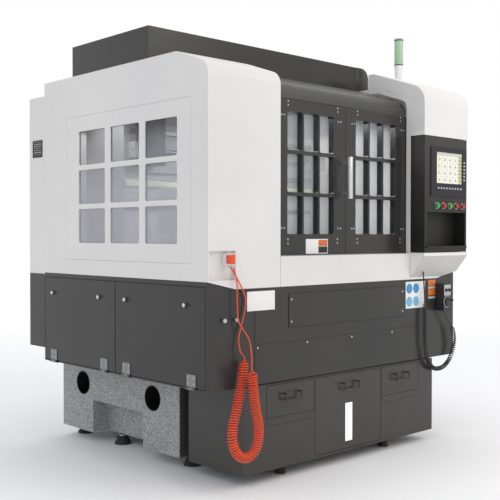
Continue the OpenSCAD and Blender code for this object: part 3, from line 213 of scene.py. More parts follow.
# finishes; "second" gives the colours at the first end of a rise, for two-tone parts and painted shade alike;
# the glass's rise of alpha gives a pale painted sheen its alpha at both of its ends
finishes = {
    "whitePaint": {**coverCoat, "Base": "#E2E0DD", "Shade": "#DCDAD8"},
    # painted light and shade: the hood paint is a lighter copy of the white paint for the right cover and
    # console hood, and faces that look down get darker second colours
    "hoodPaintLitShaded": {**coverCoat, "Base": "#EAE8E6", "Shade": "#E4E2E0",
                  "second": {"along": "under", "Base": "#C9C7C4", "Shade": "#C4C2C0"}},
    "darkPaint": {**glossCoat, "Base": "#353432", "Shade": "#2F2E2D", "shine": 0.38},
    # painted shade: the door paint turns near black deep in the window pans, where they lie in shade
    "doorPaintShadedPans": {**glossCoat, "Base": "#353432", "Shade": "#2F2E2D", "shine": 0.38,
                  "second": {"along": "Y", "span": (37, 33), "Base": "#1B1D21", "Shade": "#17191D"}},
    # painted light: the housing paint is a lighter, shinier copy of the dark paint for the lower housing,
    # tank and drawers
    "housingPaintLit": {**glossCoat, "Base": "#3D3C39", "Shade": "#373633", "shine": 0.42},
    "fittingPaint": {"group": "paint", "Base": "#E2E0DD", "Shade": "#DCDAD8", "Grain": 420.0, "Rough": 0.30,
                     "Spread": 0.08, "bump": 0.03,
                     "second": {"along": "Z", "span": (900, 950), "Base": "#C6C8CA", "Shade": "#B4B7B9"}},
    "roofPaint": {"group": "paint", "Base": "#3E3E3C", "Shade": "#383836", "Grain": 520.0, "Rough": 0.40,
                  "Spread": 0.14, "bump": 0.08},
    # painted shade: the box paint is darker towards the bottom, where the lower box and its pocket lie in
    # shade
    "boxPaintShadedLow": {"group": "paint", "Base": "#403E3C", "Shade": "#393735", "Grain": 620.0, "Rough": 0.42,
                 "Spread": 0.14, "bump": 0.12, "shine": 0.24,
                 "second": {"along": "Z", "span": (1100, 1560), "Base": "#242322", "Shade": "#201F1E"}},
    "castStone": {"group": "stone", "Base": "#A5A5A5", "Light": "#C8C8C7", "Dark": "#6E6E70", "Grain": 300.0,
                  "bump": 0.30},
    "groundSteel": {"group": "metal", "Base": "#B9BBBD", "Shade": "#9A9DA0", "Stretch": (700.0, 30.0, 700.0),
                    "Rough": 0.30, "Spread": 0.22, "metal": 1.0, "bump": 0.06},
    # painted shade: the rail steel is a darker, duller copy of the ground steel for the rails and the cross
    # screw inside the chamber
    "railSteelShaded": {"group": "metal", "Base": "#85878A", "Shade": "#77797C", "Stretch": (30.0, 700.0, 700.0),
                  "Rough": 0.46, "Spread": 0.16, "metal": 0.9, "bump": 0.06},
    "screwSteel": {"group": "metal", "Base": "#C9CBCC", "Shade": "#AEB1B3", "Stretch": (400.0, 400.0, 400.0),
                   "Rough": 0.28, "Spread": 0.2, "metal": 1.0, "bump": 0.05},
    "plateZinc": {"group": "metal", "Base": "#6A6C6E", "Shade": "#5C5E61", "Stretch": (60.0, 500.0, 60.0),
                  "Rough": 0.36, "Spread": 0.2, "metal": 0.85, "bump": 0.05},
    "doorFittings": {"group": "metal", "Base": "#D2D4D7", "Shade": "#C4C7CA", "Stretch": (80.0, 300.0, 300.0),
                     "Rough": 0.30, "Spread": 0.16, "metal": 1.0, "bump": 0.04,
                     "second": {"along": "Z", "span": (600, 700), "Base": "#8A8C8E", "Shade": "#7C7E81"}},
    "portalPaint": {"group": "paint", "Base": "#A0A0A2", "Shade": "#969698", "Grain": 520.0, "Rough": 0.45,
                    "Spread": 0.14, "bump": 0.10},
    "headPaint": {"group": "paint", "Base": "#C4C5C7", "Shade": "#BABBBE", "Grain": 520.0, "Rough": 0.42,
                  "Spread": 0.14, "bump": 0.10},
    "castIron": {"group": "metal", "Base": "#A7AAAD", "Shade": "#8D9194", "Stretch": (30.0, 600.0, 600.0),
                 "Rough": 0.38, "Spread": 0.2, "metal": 0.9, "bump": 0.08},
    "anodised": {"group": "metal", "Base": "#D6D8D9", "Shade": "#C6C9CB", "Stretch": (300.0, 300.0, 18.0),
                 "Rough": 0.32, "Spread": 0.16, "metal": 0.8, "bump": 0.05},
    "motorPaint": {"group": "paint", "Base": "#2A2C2E", "Shade": "#232527", "Grain": 700.0, "Rough": 0.40,
                   "Spread": 0.16, "bump": 0.10},
    "footRubber": {"group": "paint", "Base": "#1D1D1E", "Shade": "#262627", "Grain": 900.0, "Rough": 0.72,
                   "Spread": 0.16, "bump": 0.20},
    "sealRubber": {"group": "paint", "Base": "#161718", "Shade": "#1D1E1F", "Grain": 900.0, "Rough": 0.62,
                   "Spread": 0.14, "bump": 0.12},
    "bezelPlastic": {"group": "paint", "Base": "#222228", "Shade": "#1D1E23", "Grain": 1400.0, "Rough": 0.46,
                     "Spread": 0.12, "bump": 0.14, "shine": 0.3},
    "keyPlastic": {"group": "paint", "Base": "#B4B6C2", "Shade": "#A6A9B5", "Grain": 1500.0, "Rough": 0.48,
                   "Spread": 0.12, "bump": 0.08},
    "greenCap": {**capCoat, "Base": "#3FA347", "Shade": "#2F8F3B"},
    "redCap": {**capCoat, "Base": "#B3262B", "Shade": "#A01E25"},
    "lampWhite": {"group": "paint", "Base": "#EFEFED", "Shade": "#E6E6E4", "Grain": 900.0, "Rough": 0.30,
                  "Spread": 0.12, "bump": 0.03},
    "lampGreen": {"group": "paint", "Base": "#BCDDBB", "Shade": "#ABD2AB", "Grain": 300.0, "Rough": 0.22,
                  "Spread": 0.10, "bump": 0.04, "through": 0.25},
    "pendantShell": {"group": "paint", "Base": "#26282B", "Shade": "#202225", "Grain": 1200.0, "Rough": 0.50,
                     "Spread": 0.14, "bump": 0.16},
    "pendantFace": {"group": "paint", "Base": "#B4B7BA", "Shade": "#A8ABAF", "Grain": 1200.0, "Rough": 0.45,
                    "Spread": 0.12, "bump": 0.08},
    "orangeHose": {"group": "paint", "Base": "#EC5A2C", "Shade": "#DD4A20", "Grain": 700.0, "Rough": 0.24,
                   "Spread": 0.10, "bump": 0.04},
    "cordRubber": {"group": "paint", "Base": "#2B2C2D", "Shade": "#353637", "Grain": 900.0, "Rough": 0.26,
                   "Spread": 0.10, "bump": 0.04},
    "plainPlate": {**plateCoat, "Base": "#EDEDEB", "Shade": "#E4E4E2"},
    "bluePlate": {**plateCoat, "Base": "#3E8FC2", "Shade": "#3886B8",
                  "second": {"along": "Z", "span": (780, 810), "Base": "#74B4D4", "Shade": "#6DADCE"}},
    "orangePlate": {**plateCoat, "Base": "#D9722E", "Shade": "#CC6727"},
    "ventBlack": {"group": "paint", "Base": "#191A18", "Shade": "#121311", "Grain": 900.0, "Rough": 0.50,
                  "Spread": 0.14, "bump": 0.08},
    # painted light: the level glass glows though it is no lamp
    "levelWhiteGlow": {"group": "paint", "Base": "#FBFBFB", "Shade": "#F4F4F4", "Grain": 300.0, "Rough": 0.18,
                   "Spread": 0.08, "bump": 0.02, "glow": 0.35},
    # painted sheen: the side window's panes carry a pale coat whose alpha grows towards the bottom
    "paneGlass": {**glassCoat, "Base": "#D4D2D7", "Shade": "#C9CCD4",
                  "film": {"along": "Z", "span": (1300, 1610), "alpha": (0.38, 0.07)}},
    # painted light: the door glass is a paler copy of the pane glass, for the brighter look of the door panes
    "doorGlassLit": {**glassCoat, "Base": "#E0E3E9", "Shade": "#D6DAE1", "alpha": 0.24},
    "ductCream": {"group": "paint", "Base": "#E2E3BE", "Shade": "#D9DAB2", "Grain": 700.0, "Rough": 0.40,
                  "Spread": 0.12, "bump": 0.06},
    "lampDiffuser": {"group": "paint", "Base": "#F7F8FA", "Shade": "#EEF0F4", "Grain": 400.0, "Rough": 0.40,
                     "Spread": 0.10, "bump": 0.03, "glow": 0.4},
}
# painted shade: undersides darken between these heights of the normal
paintedShadeUnder = (-0.5, -0.2)  # height of the normal, from faces that look down to the rest
bumpDistance = 0.001


def newMaterial(name):
    material = bpy.data.materials.new(name)
    material.use_nodes = True
    return material, material.node_tree, material.node_tree.nodes["Principled BSDF"]


def addRise(tree, rise, *ends):  # a value that changes along an axis, or from undersides to the rest
    split = tree.nodes.new("ShaderNodeSeparateXYZ")
    # painted shade: faces that look down take the darker second colours
    if rise["along"] == "under":
        tree.links.new(tree.nodes.new("ShaderNodeNewGeometry").outputs["Normal"], split.inputs[0])
        return addRange(tree, split.outputs["Z"], *paintedShadeUnder, *ends)
    tree.links.new(objectPlace(tree), split.inputs[0])
    low, high = [getattr(spot(place, place, place), rise["along"].lower()) for place in rise["span"]]
    return addRange(tree, split.outputs[rise["along"]], low, high, *ends)


def makeFinish(name, look):
    material, tree, shader = newMaterial(name)
    skin = tree.nodes.new("ShaderNodeGroup")
    skin.node_tree = groups[look["group"]]
    for label, value in look.items():
        if label in skin.inputs:
            skin.inputs[label].default_value = tone(value) if isinstance(value, str) else value
    tree.links.new(skin.outputs["Color"], shader.inputs["Base Color"])
    tree.links.new(skin.outputs["Roughness"], shader.inputs["Roughness"])
    bump = tree.nodes.new("ShaderNodeBump")
    bump.inputs["Strength"].default_value = look["bump"]
    bump.inputs["Distance"].default_value = bumpDistance
    tree.links.new(skin.outputs["Height"], bump.inputs["Height"])
    tree.links.new(bump.outputs["Normal"], shader.inputs["Normal"])
    shader.inputs["Metallic"].default_value = look.get("metal", 0.0)
    shader.inputs["Specular IOR Level"].default_value = look.get("shine", 0.5)
    shader.inputs["Transmission Weight"].default_value = look.get("through", 0.0)
    shader.inputs["Alpha"].default_value = look.get("alpha", 1.0)
    if "second" in look:
        rise = addRise(tree, look["second"])
        for label in ("Base", "Shade"):
            mixed = addMix(tree, rise, tone(look["second"][label]), tone(look[label]))
            tree.links.new(mixed, skin.inputs[label])
    # painted sheen: the alpha of the pale coat changes along an axis
    if "film" in look:
        tree.links.new(addRise(tree, look["film"], *look["film"]["alpha"]), shader.inputs["Alpha"])
    # the glow is a real lamp on the work light's lens, painted light on the level glass
    if "glow" in look:
        tree.links.new(skin.outputs["Color"], shader.inputs["Emission Color"])
        shader.inputs["Emission Strength"].default_value = look["glow"]
    return material


finish = {name: makeFinish(name, look) for name, look in finishes.items()}

# lit screen with plain fields: a head band, rows of tiles and a side column, in shares of the screen
screen = {"low": (1504, -93, 1391), "wide": 234, "high": 165, "ground": "#EFEEDC", "tile": "#DAD9CC",
          "mark": "#8D9096", "band": "#C9CBBE", "side": "#C8C69C", "sideMark": "#8C8B66", "glow": 0.04,
          "tileSize": (0.21, 0.22), "tileGap": 0.012, "markGap": 0.062, "markRange": (0.45, 0.55),
          "rowSize": (1.0, 0.11), "rowGap": 0.016, "sideFrom": 0.86, "bandFrom": 0.9, "grain": (34.0, 1.0),
          "roughRange": (0.0, 1.0, 0.10, 0.18)}


def addTiles(tree, where, extent, gap, inside, outside):
    bricks = tree.nodes.new("ShaderNodeTexBrick")
    bricks.offset = 0.0
    tree.links.new(where, bricks.inputs["Vector"])
    values = {"Scale": 1.0, "Brick Width": extent[0], "Row Height": extent[1], "Mortar Size": gap,
              "Mortar Smooth": 0.0, "Color1": tone(inside), "Color2": tone(inside), "Mortar": tone(outside)}
    for label, value in values.items():
        bricks.inputs[label].default_value = value
    return bricks.outputs


def makeScreenFinish():
    material, tree, shader = newMaterial("screenFields")
    split = tree.nodes.new("ShaderNodeSeparateXYZ")
    tree.links.new(objectPlace(tree), split.inputs[0])
    low = spot(*screen["low"])
    across = addRange(tree, split.outputs["X"], low.x, low.x + size(screen["wide"]))
    up = addRange(tree, split.outputs["Z"], low.z, low.z + size(screen["high"]))
    join = tree.nodes.new("ShaderNodeCombineXYZ")
    tree.links.new(across, join.inputs["X"])
    tree.links.new(up, join.inputs["Y"])
    flat = join.outputs[0]
    tiles = addTiles(tree, flat, screen["tileSize"], screen["tileGap"], screen["ground"], screen["tile"])
    inner = addTiles(tree, flat, screen["tileSize"], screen["markGap"], screen["mark"], screen["ground"])
    rows = addTiles(tree, flat, screen["rowSize"], screen["rowGap"], screen["side"], screen["sideMark"])
    grain = addNoise(tree, flat, *screen["grain"])
    inside = addMath(tree, "LESS_THAN", inner["Fac"], 0.5)
    marks = addMath(tree, "MULTIPLY", inside, addRange(tree, grain, *screen["markRange"]))
    colour = addMix(tree, marks, tiles["Color"], tone(screen["mark"]))
    colour = addMix(tree, addMath(tree, "GREATER_THAN", across, screen["sideFrom"]), colour, rows["Color"])
    colour = addMix(tree, addMath(tree, "GREATER_THAN", up, screen["bandFrom"]), colour, tone(screen["band"]))
    tree.links.new(colour, shader.inputs["Base Color"])
    tree.links.new(colour, shader.inputs["Emission Color"])
    shader.inputs["Emission Strength"].default_value = screen["glow"]
    tree.links.new(addRange(tree, grain, *screen["roughRange"]), shader.inputs["Roughness"])
    return material


finish["screenFields"] = makeScreenFinish()
print("finishes:", len(finish))

# finish and edge width of every solid, in millimetres; none where a rounded edge would not show
dressing = {
    "granite_base": ("castStone", 3.0), "gantry_portal": ("portalPaint", 3.0),
    "leveling_feet": ("footRubber", 2.0), "lower_housing": ("housingPaintLit", 0.8),
    "coolant_tank": ("housingPaintLit", 0.8), "level_glass": ("levelWhiteGlow", 0.5),
    "left_chip_drawer": ("housingPaintLit", 0.8), "right_chip_drawer": ("housingPaintLit", 0.8),
    "left_cabinet": ("darkPaint", 0.8), "right_cabinet": ("darkPaint", 0.8),
    "front_service_door": ("darkPaint", 1.5), "rear_service_door": ("darkPaint", 1.5),
    "front_door_fittings": ("doorFittings", 0.8), "rear_door_fittings": ("doorFittings", 0.8),
    "hinge_bases": ("plateZinc", 0.4), "front_panel": ("darkPaint", 0.5), "access_cover": ("darkPaint", 0.8),
    "front_apron": ("whitePaint", 1.0), "door_track": ("groundSteel", 0.5), "left_cover": ("whitePaint", 1.0),
    "right_cover": ("hoodPaintLitShaded", 1.0), "window_frame": ("whitePaint", 0.8), "window_glass": ("paneGlass", 0),
    "hose_fittings": ("fittingPaint", 0.8), "left_door": ("doorPaintShadedPans", 1.0), "right_door": ("doorPaintShadedPans", 1.0),
    "left_door_glass": ("doorGlassLit", 0), "right_door_glass": ("doorGlassLit", 0),
    "door_handle": ("anodised", 2.0), "roof_hood": ("roofPaint", 1.0), "roof_box": ("darkPaint", 1.5),
    "rear_cabinet": ("whitePaint", 1.2), "rear_cabinet_base": ("darkPaint", 1.2),
    "console_hood": ("hoodPaintLitShaded", 1.2), "control_box": ("boxPaintShadedLow", 1.2),
    "display_bezel": ("bezelPlastic", 0.6), "display_screen": ("screenFields", 0),
    "lamp_base": ("lampWhite", 1.5), "lamp_lens": ("lampGreen", 1.5),
    "handwheel_pendant": ("pendantShell", 3.0), "handwheel_dial": ("motorPaint", 1.2),
    "power_on_button": ("greenCap", 1.5), "power_off_button": ("redCap", 1.5),
    "start_button": ("greenCap", 1.5), "stop_button": ("redCap", 1.5), "reset_button": ("redCap", 1.5),
    "guide_rails": ("railSteelShaded", 0.8), "axis_motors": ("portalPaint", 1.5), "x_screw": ("railSteelShaded", 0.8),
    "y_screw": ("groundSteel", 0.8), "z_screw": ("groundSteel", 0.8), "x_saddle": ("headPaint", 1.2),
    "z_head": ("headPaint", 1.2), "spindle_housing": ("motorPaint", 1.5),
    "spindle_rotor": ("screwSteel", 1.0), "work_table": ("castIron", 1.0), "chip_tray": ("plateZinc", 0.5),
    "air_hose": ("orangeHose", 0), "pendant_cord": ("cordRubber", 0),
}
softEdge = {"merge": 0.02, "segments": 2, "angle": 50}


def roundEdges(solid, width):
    weld = solid.modifiers.new("weld", "WELD")
    weld.merge_threshold = size(softEdge["merge"])
    bevel = solid.modifiers.new("edge", "BEVEL")
    bevel.width = size(width)
    bevel.segments = softEdge["segments"]
    bevel.limit_method = "ANGLE"
    bevel.angle_limit = math.radians(softEdge["angle"])
    bevel.use_clamp_overlap = True


for name, (look, edge) in dressing.items():
    solid = nodes[name]
    solid.data.materials.clear()
    solid.data.materials.append(finish[look])
    if edge:
        roundEdges(solid, edge)
print("solids dressed:", len(dressing))

# cords: a route through the points of the part's source, wound into a helix between two of them


def smoothRoute(points, step):  # points about one step apart on a curve, and the index of each route point
    spots = [spot(*point) for point in points]
    ends = [spots[0] * 2 - spots[1]] + spots + [spots[-1] * 2 - spots[-2]]
    line, marks = [], []
    for a, b, c, d in zip(ends, ends[1:], ends[2:], ends[3:]):
        marks.append(len(line))
        count = max(2, round((c - b).length / step))
        for i in range(count):
            t = i / count
            bend = (c - a) * t + (a * 2 - b * 5 + c * 4 - d) * t ** 2 + (b * 3 - a - c * 3 + d) * t ** 3
            line.append(b + bend / 2)
    return line + [spots[-1]], marks + [len(line)]


def curlRoute(line, coil, first, last):  # winds the stretch between two points of the line into a helix
    lengths = [0.0]
    for a, b in zip(line, line[1:]):
        lengths.append(lengths[-1] + (b - a).length)
    side = (line[1] - line[0]).orthogonal().normalized()
    wound = []
    for i, point in enumerate(line):
        heading = (line[min(i + 1, len(line) - 1)] - line[max(i - 1, 0)]).normalized()
        side = (side - heading * side.dot(heading)).normalized()
        run, rest = lengths[i] - lengths[first], lengths[last] - lengths[i]
        ease = min(max(run / size(coil["ease"]), 0.0), max(rest / size(coil["ease"]), 0.0), 1.0)
        turn = 2 * math.pi * run / size(coil["pitch"])
        reach = size(coil["reach"]) * ease * ease * (3 - 2 * ease)
        wound.append(point + (side * math.cos(turn) + heading.cross(side) * math.sin(turn)) * reach)
    return wound


def makeCord(name, cord):
    coil = cord["coil"]
    line, marks = smoothRoute(cord["route"], size(coil["pitch"]) / coil["points"])
    wound = curlRoute(line, coil, marks[coil["from"]], marks[coil["to"]])
    data = bpy.data.curves.new(name, "CURVE")
    data.dimensions = "3D"
    data.bevel_depth = size(cord["thick"]) / 2
    data.bevel_resolution = cord["roundness"]
    data.use_fill_caps = True
    spline = data.splines.new("POLY")
    spline.points.add(len(wound) - 1)
    for point, place in zip(spline.points, wound):
        point.co = (*place, 1.0)
    data.materials.append(finish[cord["finish"]])
    piece = bpy.data.objects.new(name, data)
    bpy.context.collection.objects.link(piece)
    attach(piece, "machine")
    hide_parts(cord["node"])
    print("cord:", name, len(wound), "points")


airHose = {
    "node": "air_hose", "slot": "orange_hose", "finish": "orangeHose", "thick": 6.0, "roundness": 3,
    "length": 10.56,
    "coil": {"from": 8, "to": 22, "pitch": 11.0, "points": 13, "reach": 19.5, "ease": 24.0},
    "route": [
        (112, -8, 985), (131, -9, 961), (174, -10, 901), (204, -11, 840), (198, -12, 788), (178, -12, 722),
        (159, -16, 664), (162, -24, 613), (178, -32, 582), (166, -32, 516), (152, -33, 437), (128, -36, 359),
        (105, -40, 298), (97, -46, 241), (114, -52, 187), (155, -58, 159), (199, -64, 171), (223, -70, 220),
        (221, -76, 293), (201, -80, 363), (185, -84, 435), (174, -88, 493), (170, -88, 542), (184, -70, 608),
        (190, -48, 665), (169, -32, 709), (149, -26, 747), (143, -24, 829), (143, -22, 917), (118, -24, 985)],
}
pendantCord = {
    "node": "pendant_cord", "slot": "rubber", "finish": "cordRubber", "thick": 7.0, "roundness": 3,
    "length": 3.8,
    "coil": {"from": 2, "to": 13, "pitch": 12.4, "points": 13, "reach": 9.4, "ease": 40.0},
    "route": [
        (1484, -24, 920), (1490, -24, 860), (1498, -24, 770), (1500, -24, 680), (1500, -24, 590),
        (1506, -24, 520), (1526, -24, 450), (1564, -24, 404), (1614, -24, 388), (1676, -26, 396),
        (1732, -28, 438), (1762, -30, 503), (1758, -32, 565), (1730, -32, 625), (1690, -31, 668),
        (1662, -31, 703)],
}
makeCord("airHose", airHose)
makeCord("pendantCord", pendantCord)

# modelling helpers: each adds one shape to a bmesh
facing = {"front": (0, -1, 0), "back": (0, 1, 0), "left": (-1, 0, 0), "right": (1, 0, 0), "up": (0, 0, 1),
          "down": (0, 0, -1)}
screwHead = {"sides": 12, "socket": 0.45, "flat": 0.72, "shoulder": 0.55}  # shares of radius and height
smoothAngle = 35
mergeDistance = 1e-6


def addBlock(bm, low, high, edge):
    verts = bmesh.ops.create_cube(bm, size=1.0)["verts"]
    bmesh.ops.scale(bm, vec=high - low, verts=verts)
    bmesh.ops.translate(bm, vec=(low + high) / 2, verts=verts)
    edges = list({e for v in verts for e in v.link_edges})
    rounded = bmesh.ops.bevel(bm, geom=edges, offset=size(edge), segments=2, profile=0.5, affect="EDGES",
                              material=-1)
    return rounded["verts"]


def addPlate(bm, x, y, z, edge):  # limits in millimetres
    addBlock(bm, spot(x[0], y[0], z[0]), spot(x[1], y[1], z[1]), edge)


def addTurned(bm, at, axis, profile, sides):  # a profile of (radius, height) pairs spun round an axis
    first = [bm.verts.new((size(r), 0.0, size(h))) for r, h in profile]
    edges = [bm.edges.new(pair) for pair in zip(first, first[1:])]
    bmesh.ops.spin(bm, geom=first + edges, cent=(0, 0, 0), axis=(0, 0, 1), angle=2 * math.pi, steps=sides,
                   use_merge=True)
    made, border = set(first), first
    while border:
        border = list({e.other_vert(v) for v in border for e in v.link_edges} - made)
        made.update(border)
    bmesh.ops.remove_doubles(bm, verts=list(made), dist=mergeDistance)
    made = [v for v in made if v.is_valid]
    bmesh.ops.recalc_face_normals(bm, faces=list({f for v in made for f in v.link_faces}))
    turn = Vector((0, 0, 1)).rotation_difference(Vector(facing[axis])).to_matrix().to_4x4()
    bmesh.ops.transform(bm, matrix=Matrix.Translation(at) @ turn, verts=made)


def addScrew(bm, at, axis, r, h):  # pan head with a socket
    socket, flat, shoulder = screwHead["socket"], screwHead["flat"], screwHead["shoulder"]
    profile = [(0, h * socket), (r * socket, h * socket), (r * socket, h), (r * flat, h), (r, h * shoulder),
               (r, 0)]
    addTurned(bm, at, axis, profile, screwHead["sides"])


def makePiece(name, bm, look, body):
    mesh = bpy.data.meshes.new(name)
    bm.to_mesh(mesh)
    bm.free()
    mesh.materials.append(finish[look])
    mesh.shade_smooth()
    piece = bpy.data.objects.new(name, mesh)
    bpy.context.collection.objects.link(piece)
    mesh.set_sharp_from_angle(angle=math.radians(smoothAngle))
    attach(piece, body)


def makePlate(name, plate):  # a piece of one rounded plate
    bm = bmesh.new()
    addPlate(bm, plate["x"], plate["y"], plate["z"], plate["edge"])
    makePiece(name, bm, plate["look"], plate.get("body", "machine"))


# screws on the doors: an upright pair and a level pair at each corner
doorScrews = {"r": 4.5, "h": 2.2, "face": 31, "uprightZ": (1732, 1714, 1095, 1076), "levelZ": (1667, 1147),
              "leaves": (("leftDoorScrews", "left_door_leaf", (509, 854), (467, 485, 858, 876)),
                         ("rightDoorScrews", "right_door_leaf", (1003, 1353), (960, 978, 1360, 1378)))}
for name, body, uprightX, levelX in doorScrews["leaves"]:
    bm = bmesh.new()
    places = [(x, z) for x in uprightX for z in doorScrews["uprightZ"]]
    places += [(x, z) for x in levelX for z in doorScrews["levelZ"]]
    for x, z in places:
        addScrew(bm, spot(x, doorScrews["face"], z), "front", doorScrews["r"], doorScrews["h"])
    makePiece(name, bm, "screwSteel", body)

# screws on the access cover and along the front panel
panelScrews = {"r": 5.0, "h": 2.4, "rows": ({"face": -3, "x": (499, 1332), "z": (717, 820)},
                                            {"face": 0, "x": (288, 607, 927, 1247), "z": (614,)})}
bm = bmesh.new()
for row in panelScrews["rows"]:
    for x in row["x"]:
        for z in row["z"]:
            addScrew(bm, spot(x, row["face"], z), "front", panelScrews["r"], panelScrews["h"])
makePiece("panelScrews", bm, "screwSteel", "machine")
print("screws done")

# bare plates with plain colour fields
plates = {
    "whitePlate": {"x": (223, 393), "y": (-1.2, 0), "z": (780, 866), "edge": 0.25, "look": "plainPlate",
                   "slot": "white_paint"},
    "fieldPlate": {"x": (1362, 1532), "y": (-1.2, 0), "z": (727, 868), "edge": 0.25, "look": "plainPlate",
                   "slot": "white_paint"},
    "doorPlate": {"x": (629, 783), "y": (29.8, 31), "z": (1026, 1096), "edge": 0.25, "look": "plainPlate",
                  "slot": "white_paint", "body": "left_door_leaf"},
    "doorField": {"x": (716, 779), "y": (29.2, 29.8), "z": (1062, 1092), "edge": 0.25, "look": "orangePlate",
                  "slot": "orange_hose", "body": "left_door_leaf"},
    "doorShade": {"x": (716, 779), "y": (29.2, 29.8), "z": (1030, 1060), "edge": 0.25, "look": "ventBlack",
                  "slot": "bezel", "body": "left_door_leaf"},
}
for name, plate in plates.items():
    makePlate(name, plate)

# round fields on the field plate
discs = {"x": (1393, 1452), "y": -1.2, "z": (763, 832), "sides": 32,
         "profile": [(0, 0.5), (25, 0.5), (26, 0.4), (26.5, 0)]}
bm = bmesh.new()
for x in discs["x"]:
    for z in discs["z"]:
        addTurned(bm, spot(x, discs["y"], z), "front", discs["profile"], discs["sides"])
makePiece("blueDiscs", bm, "bluePlate", "machine")

# level fields beside the pendant
fields = {"x": (1562, 1628), "y": (-1.2, 0), "edge": 0.25,
          "rows": (("orangeFields", "orangePlate", "orange_hose", (838, 788), 34),
                   ("greyFields", "pendantFace", "alu", (824, 770), 12))}
for name, look, slot, lows, high in fields["rows"]:
    bm = bmesh.new()
    for z in lows:
        addPlate(bm, fields["x"], fields["y"], (z, z + high), fields["edge"])
    makePiece(name, bm, look, "machine")

# vent grille on the rear cabinet: a frame with level fins
vent = {"y": (1362, 1462), "z": (1530, 1620), "rim": 7, "x": (-3, 0), "edge": 0.5, "fins": 7,
        "finX": (-2.4, 0.4), "finShare": 0.62}
bm = bmesh.new()
y, z, rim = vent["y"], vent["z"], vent["rim"]
innerY, innerZ = (y[0] + rim, y[1] - rim), (z[0] + rim, z[1] - rim)
for limits in ((y, (z[0], innerZ[0])), (y, (innerZ[1], z[1])),
               ((y[0], innerY[0]), innerZ), ((innerY[1], y[1]), innerZ)):
    addPlate(bm, vent["x"], *limits, vent["edge"])
pitch = (innerZ[1] - innerZ[0]) / vent["fins"]
for i in range(vent["fins"]):
    low = innerZ[0] + i * pitch
    addPlate(bm, vent["finX"], innerY, (low, low + pitch * vent["finShare"]), vent["edge"])
makePiece("ventGrille", bm, "ventBlack", "machine")

# rings at the foot and the top of the signal lamp's lens
lampRings = {"x": 1645, "y": 266, "z": (2077, 2217), "sides": 40,
             "profile": [(25, 0), (26.2, 0.5), (26.2, 4.5), (25, 5)]}
bm = bmesh.new()
for z in lampRings["z"]:
    addTurned(bm, spot(lampRings["x"], lampRings["y"], z), "up", lampRings["profile"], lampRings["sides"])
makePiece("lampRings", bm, "bezelPlastic", "machine")

# keys of the display: a row below the screen and a column beside it
keys = {"y": (-96.7, -96), "wide": 15.4, "high": 9.4, "edge": 0.3,
        "row": {"x": 1509.3, "z": 1360.8, "pitch": 26, "count": 9},
        "column": {"x": 1749.8, "z": 1410.8, "pitch": 19, "count": 6}}
bm = bmesh.new()
row, column = keys["row"], keys["column"]
places = [(row["x"] + i * row["pitch"], row["z"]) for i in range(row["count"])]
places += [(column["x"], column["z"] + i * column["pitch"]) for i in range(column["count"])]
for x, z in places:
    addPlate(bm, (x, x + keys["wide"]), keys["y"], (z, z + keys["high"]), keys["edge"])
makePiece("displayKeys", bm, "keyPlastic", "machine")

# rings around the push buttons
buttonRings = {"x": 1509, "y": -92.5, "z": 1272, "pitch": 59, "count": 5, "sides": 32,
               "profile": [(11, 0), (11.4, 0.6), (16.6, 0.6), (17.4, 0)]}
bm = bmesh.new()
for i in range(buttonRings["count"]):
    at = spot(buttonRings["x"] + i * buttonRings["pitch"], buttonRings["y"], buttonRings["z"])
    addTurned(bm, at, "front", buttonRings["profile"], buttonRings["sides"])
makePiece("buttonRings", bm, "screwSteel", "machine")

# pendant: face plate and two selectors with pointers
pendantFace = {"x": (1632, 1692), "y": (-57, -56), "z": (786, 845), "edge": 0.6, "look": "pendantFace",
               "slot": "alu"}
makePlate("pendantFace", pendantFace)
selectors = {"x": (1647, 1677), "y": -57, "z": 816, "sides": 24,
             "profile": [(0, 9), (6, 9), (7.5, 7.5), (8.5, 0)],
             "pointer": {"half": 1.5, "y": (-67.5, -65.5), "z": (809, 823), "edge": 0.5}}
bm = bmesh.new()
pointer = selectors["pointer"]
for x in selectors["x"]:
    at = spot(x, selectors["y"], selectors["z"])
    addTurned(bm, at, "front", selectors["profile"], selectors["sides"])
    addPlate(bm, (x - pointer["half"], x + pointer["half"]), pointer["y"], pointer["z"], pointer["edge"])
makePiece("pendantSelectors", bm, "sealRubber", "machine")

# dial of the pendant, a third up its body: ring, marks on the ring, grip
dial = {"at": (1662, -56, 704 + 146 / 3), "ring": [(28, 0), (28, 0.8), (33.4, 0.8), (33.8, 0)],
        "ringSides": 48, "marks": 20, "markLow": (29.5, -0.4, 0), "markHigh": (32.5, 0.4, 1.0),
        "markEdge": 0.15, "gripAt": (1677, -68.3, 713 + 146 / 3), "gripSides": 20,
        "grip": [(0, 15), (4, 15), (5, 13.5), (4.2, 3), (5, 0)]}
bm = bmesh.new()
addTurned(bm, spot(*dial["at"]), "front", dial["ring"], dial["ringSides"])
makePiece("dialRing", bm, "pendantFace", "machine")
bm = bmesh.new()
low, high = [Vector(dial[end]) * machine["mm"] for end in ("markLow", "markHigh")]
toFront = Matrix.Translation(spot(*dial["at"])) @ Matrix.Rotation(math.pi / 2, 4, "X")
for i in range(dial["marks"]):
    verts = addBlock(bm, low, high, dial["markEdge"])
    turn = Matrix.Rotation(i * 2 * math.pi / dial["marks"], 4, "Z")
    bmesh.ops.transform(bm, matrix=toFront @ turn, verts=verts)
makePiece("dialMarks", bm, "sealRubber", "machine")
bm = bmesh.new()
addTurned(bm, spot(*dial["gripAt"]), "front", dial["grip"], dial["gripSides"])
makePiece("dialGrip", bm, "sealRubber", "dial")

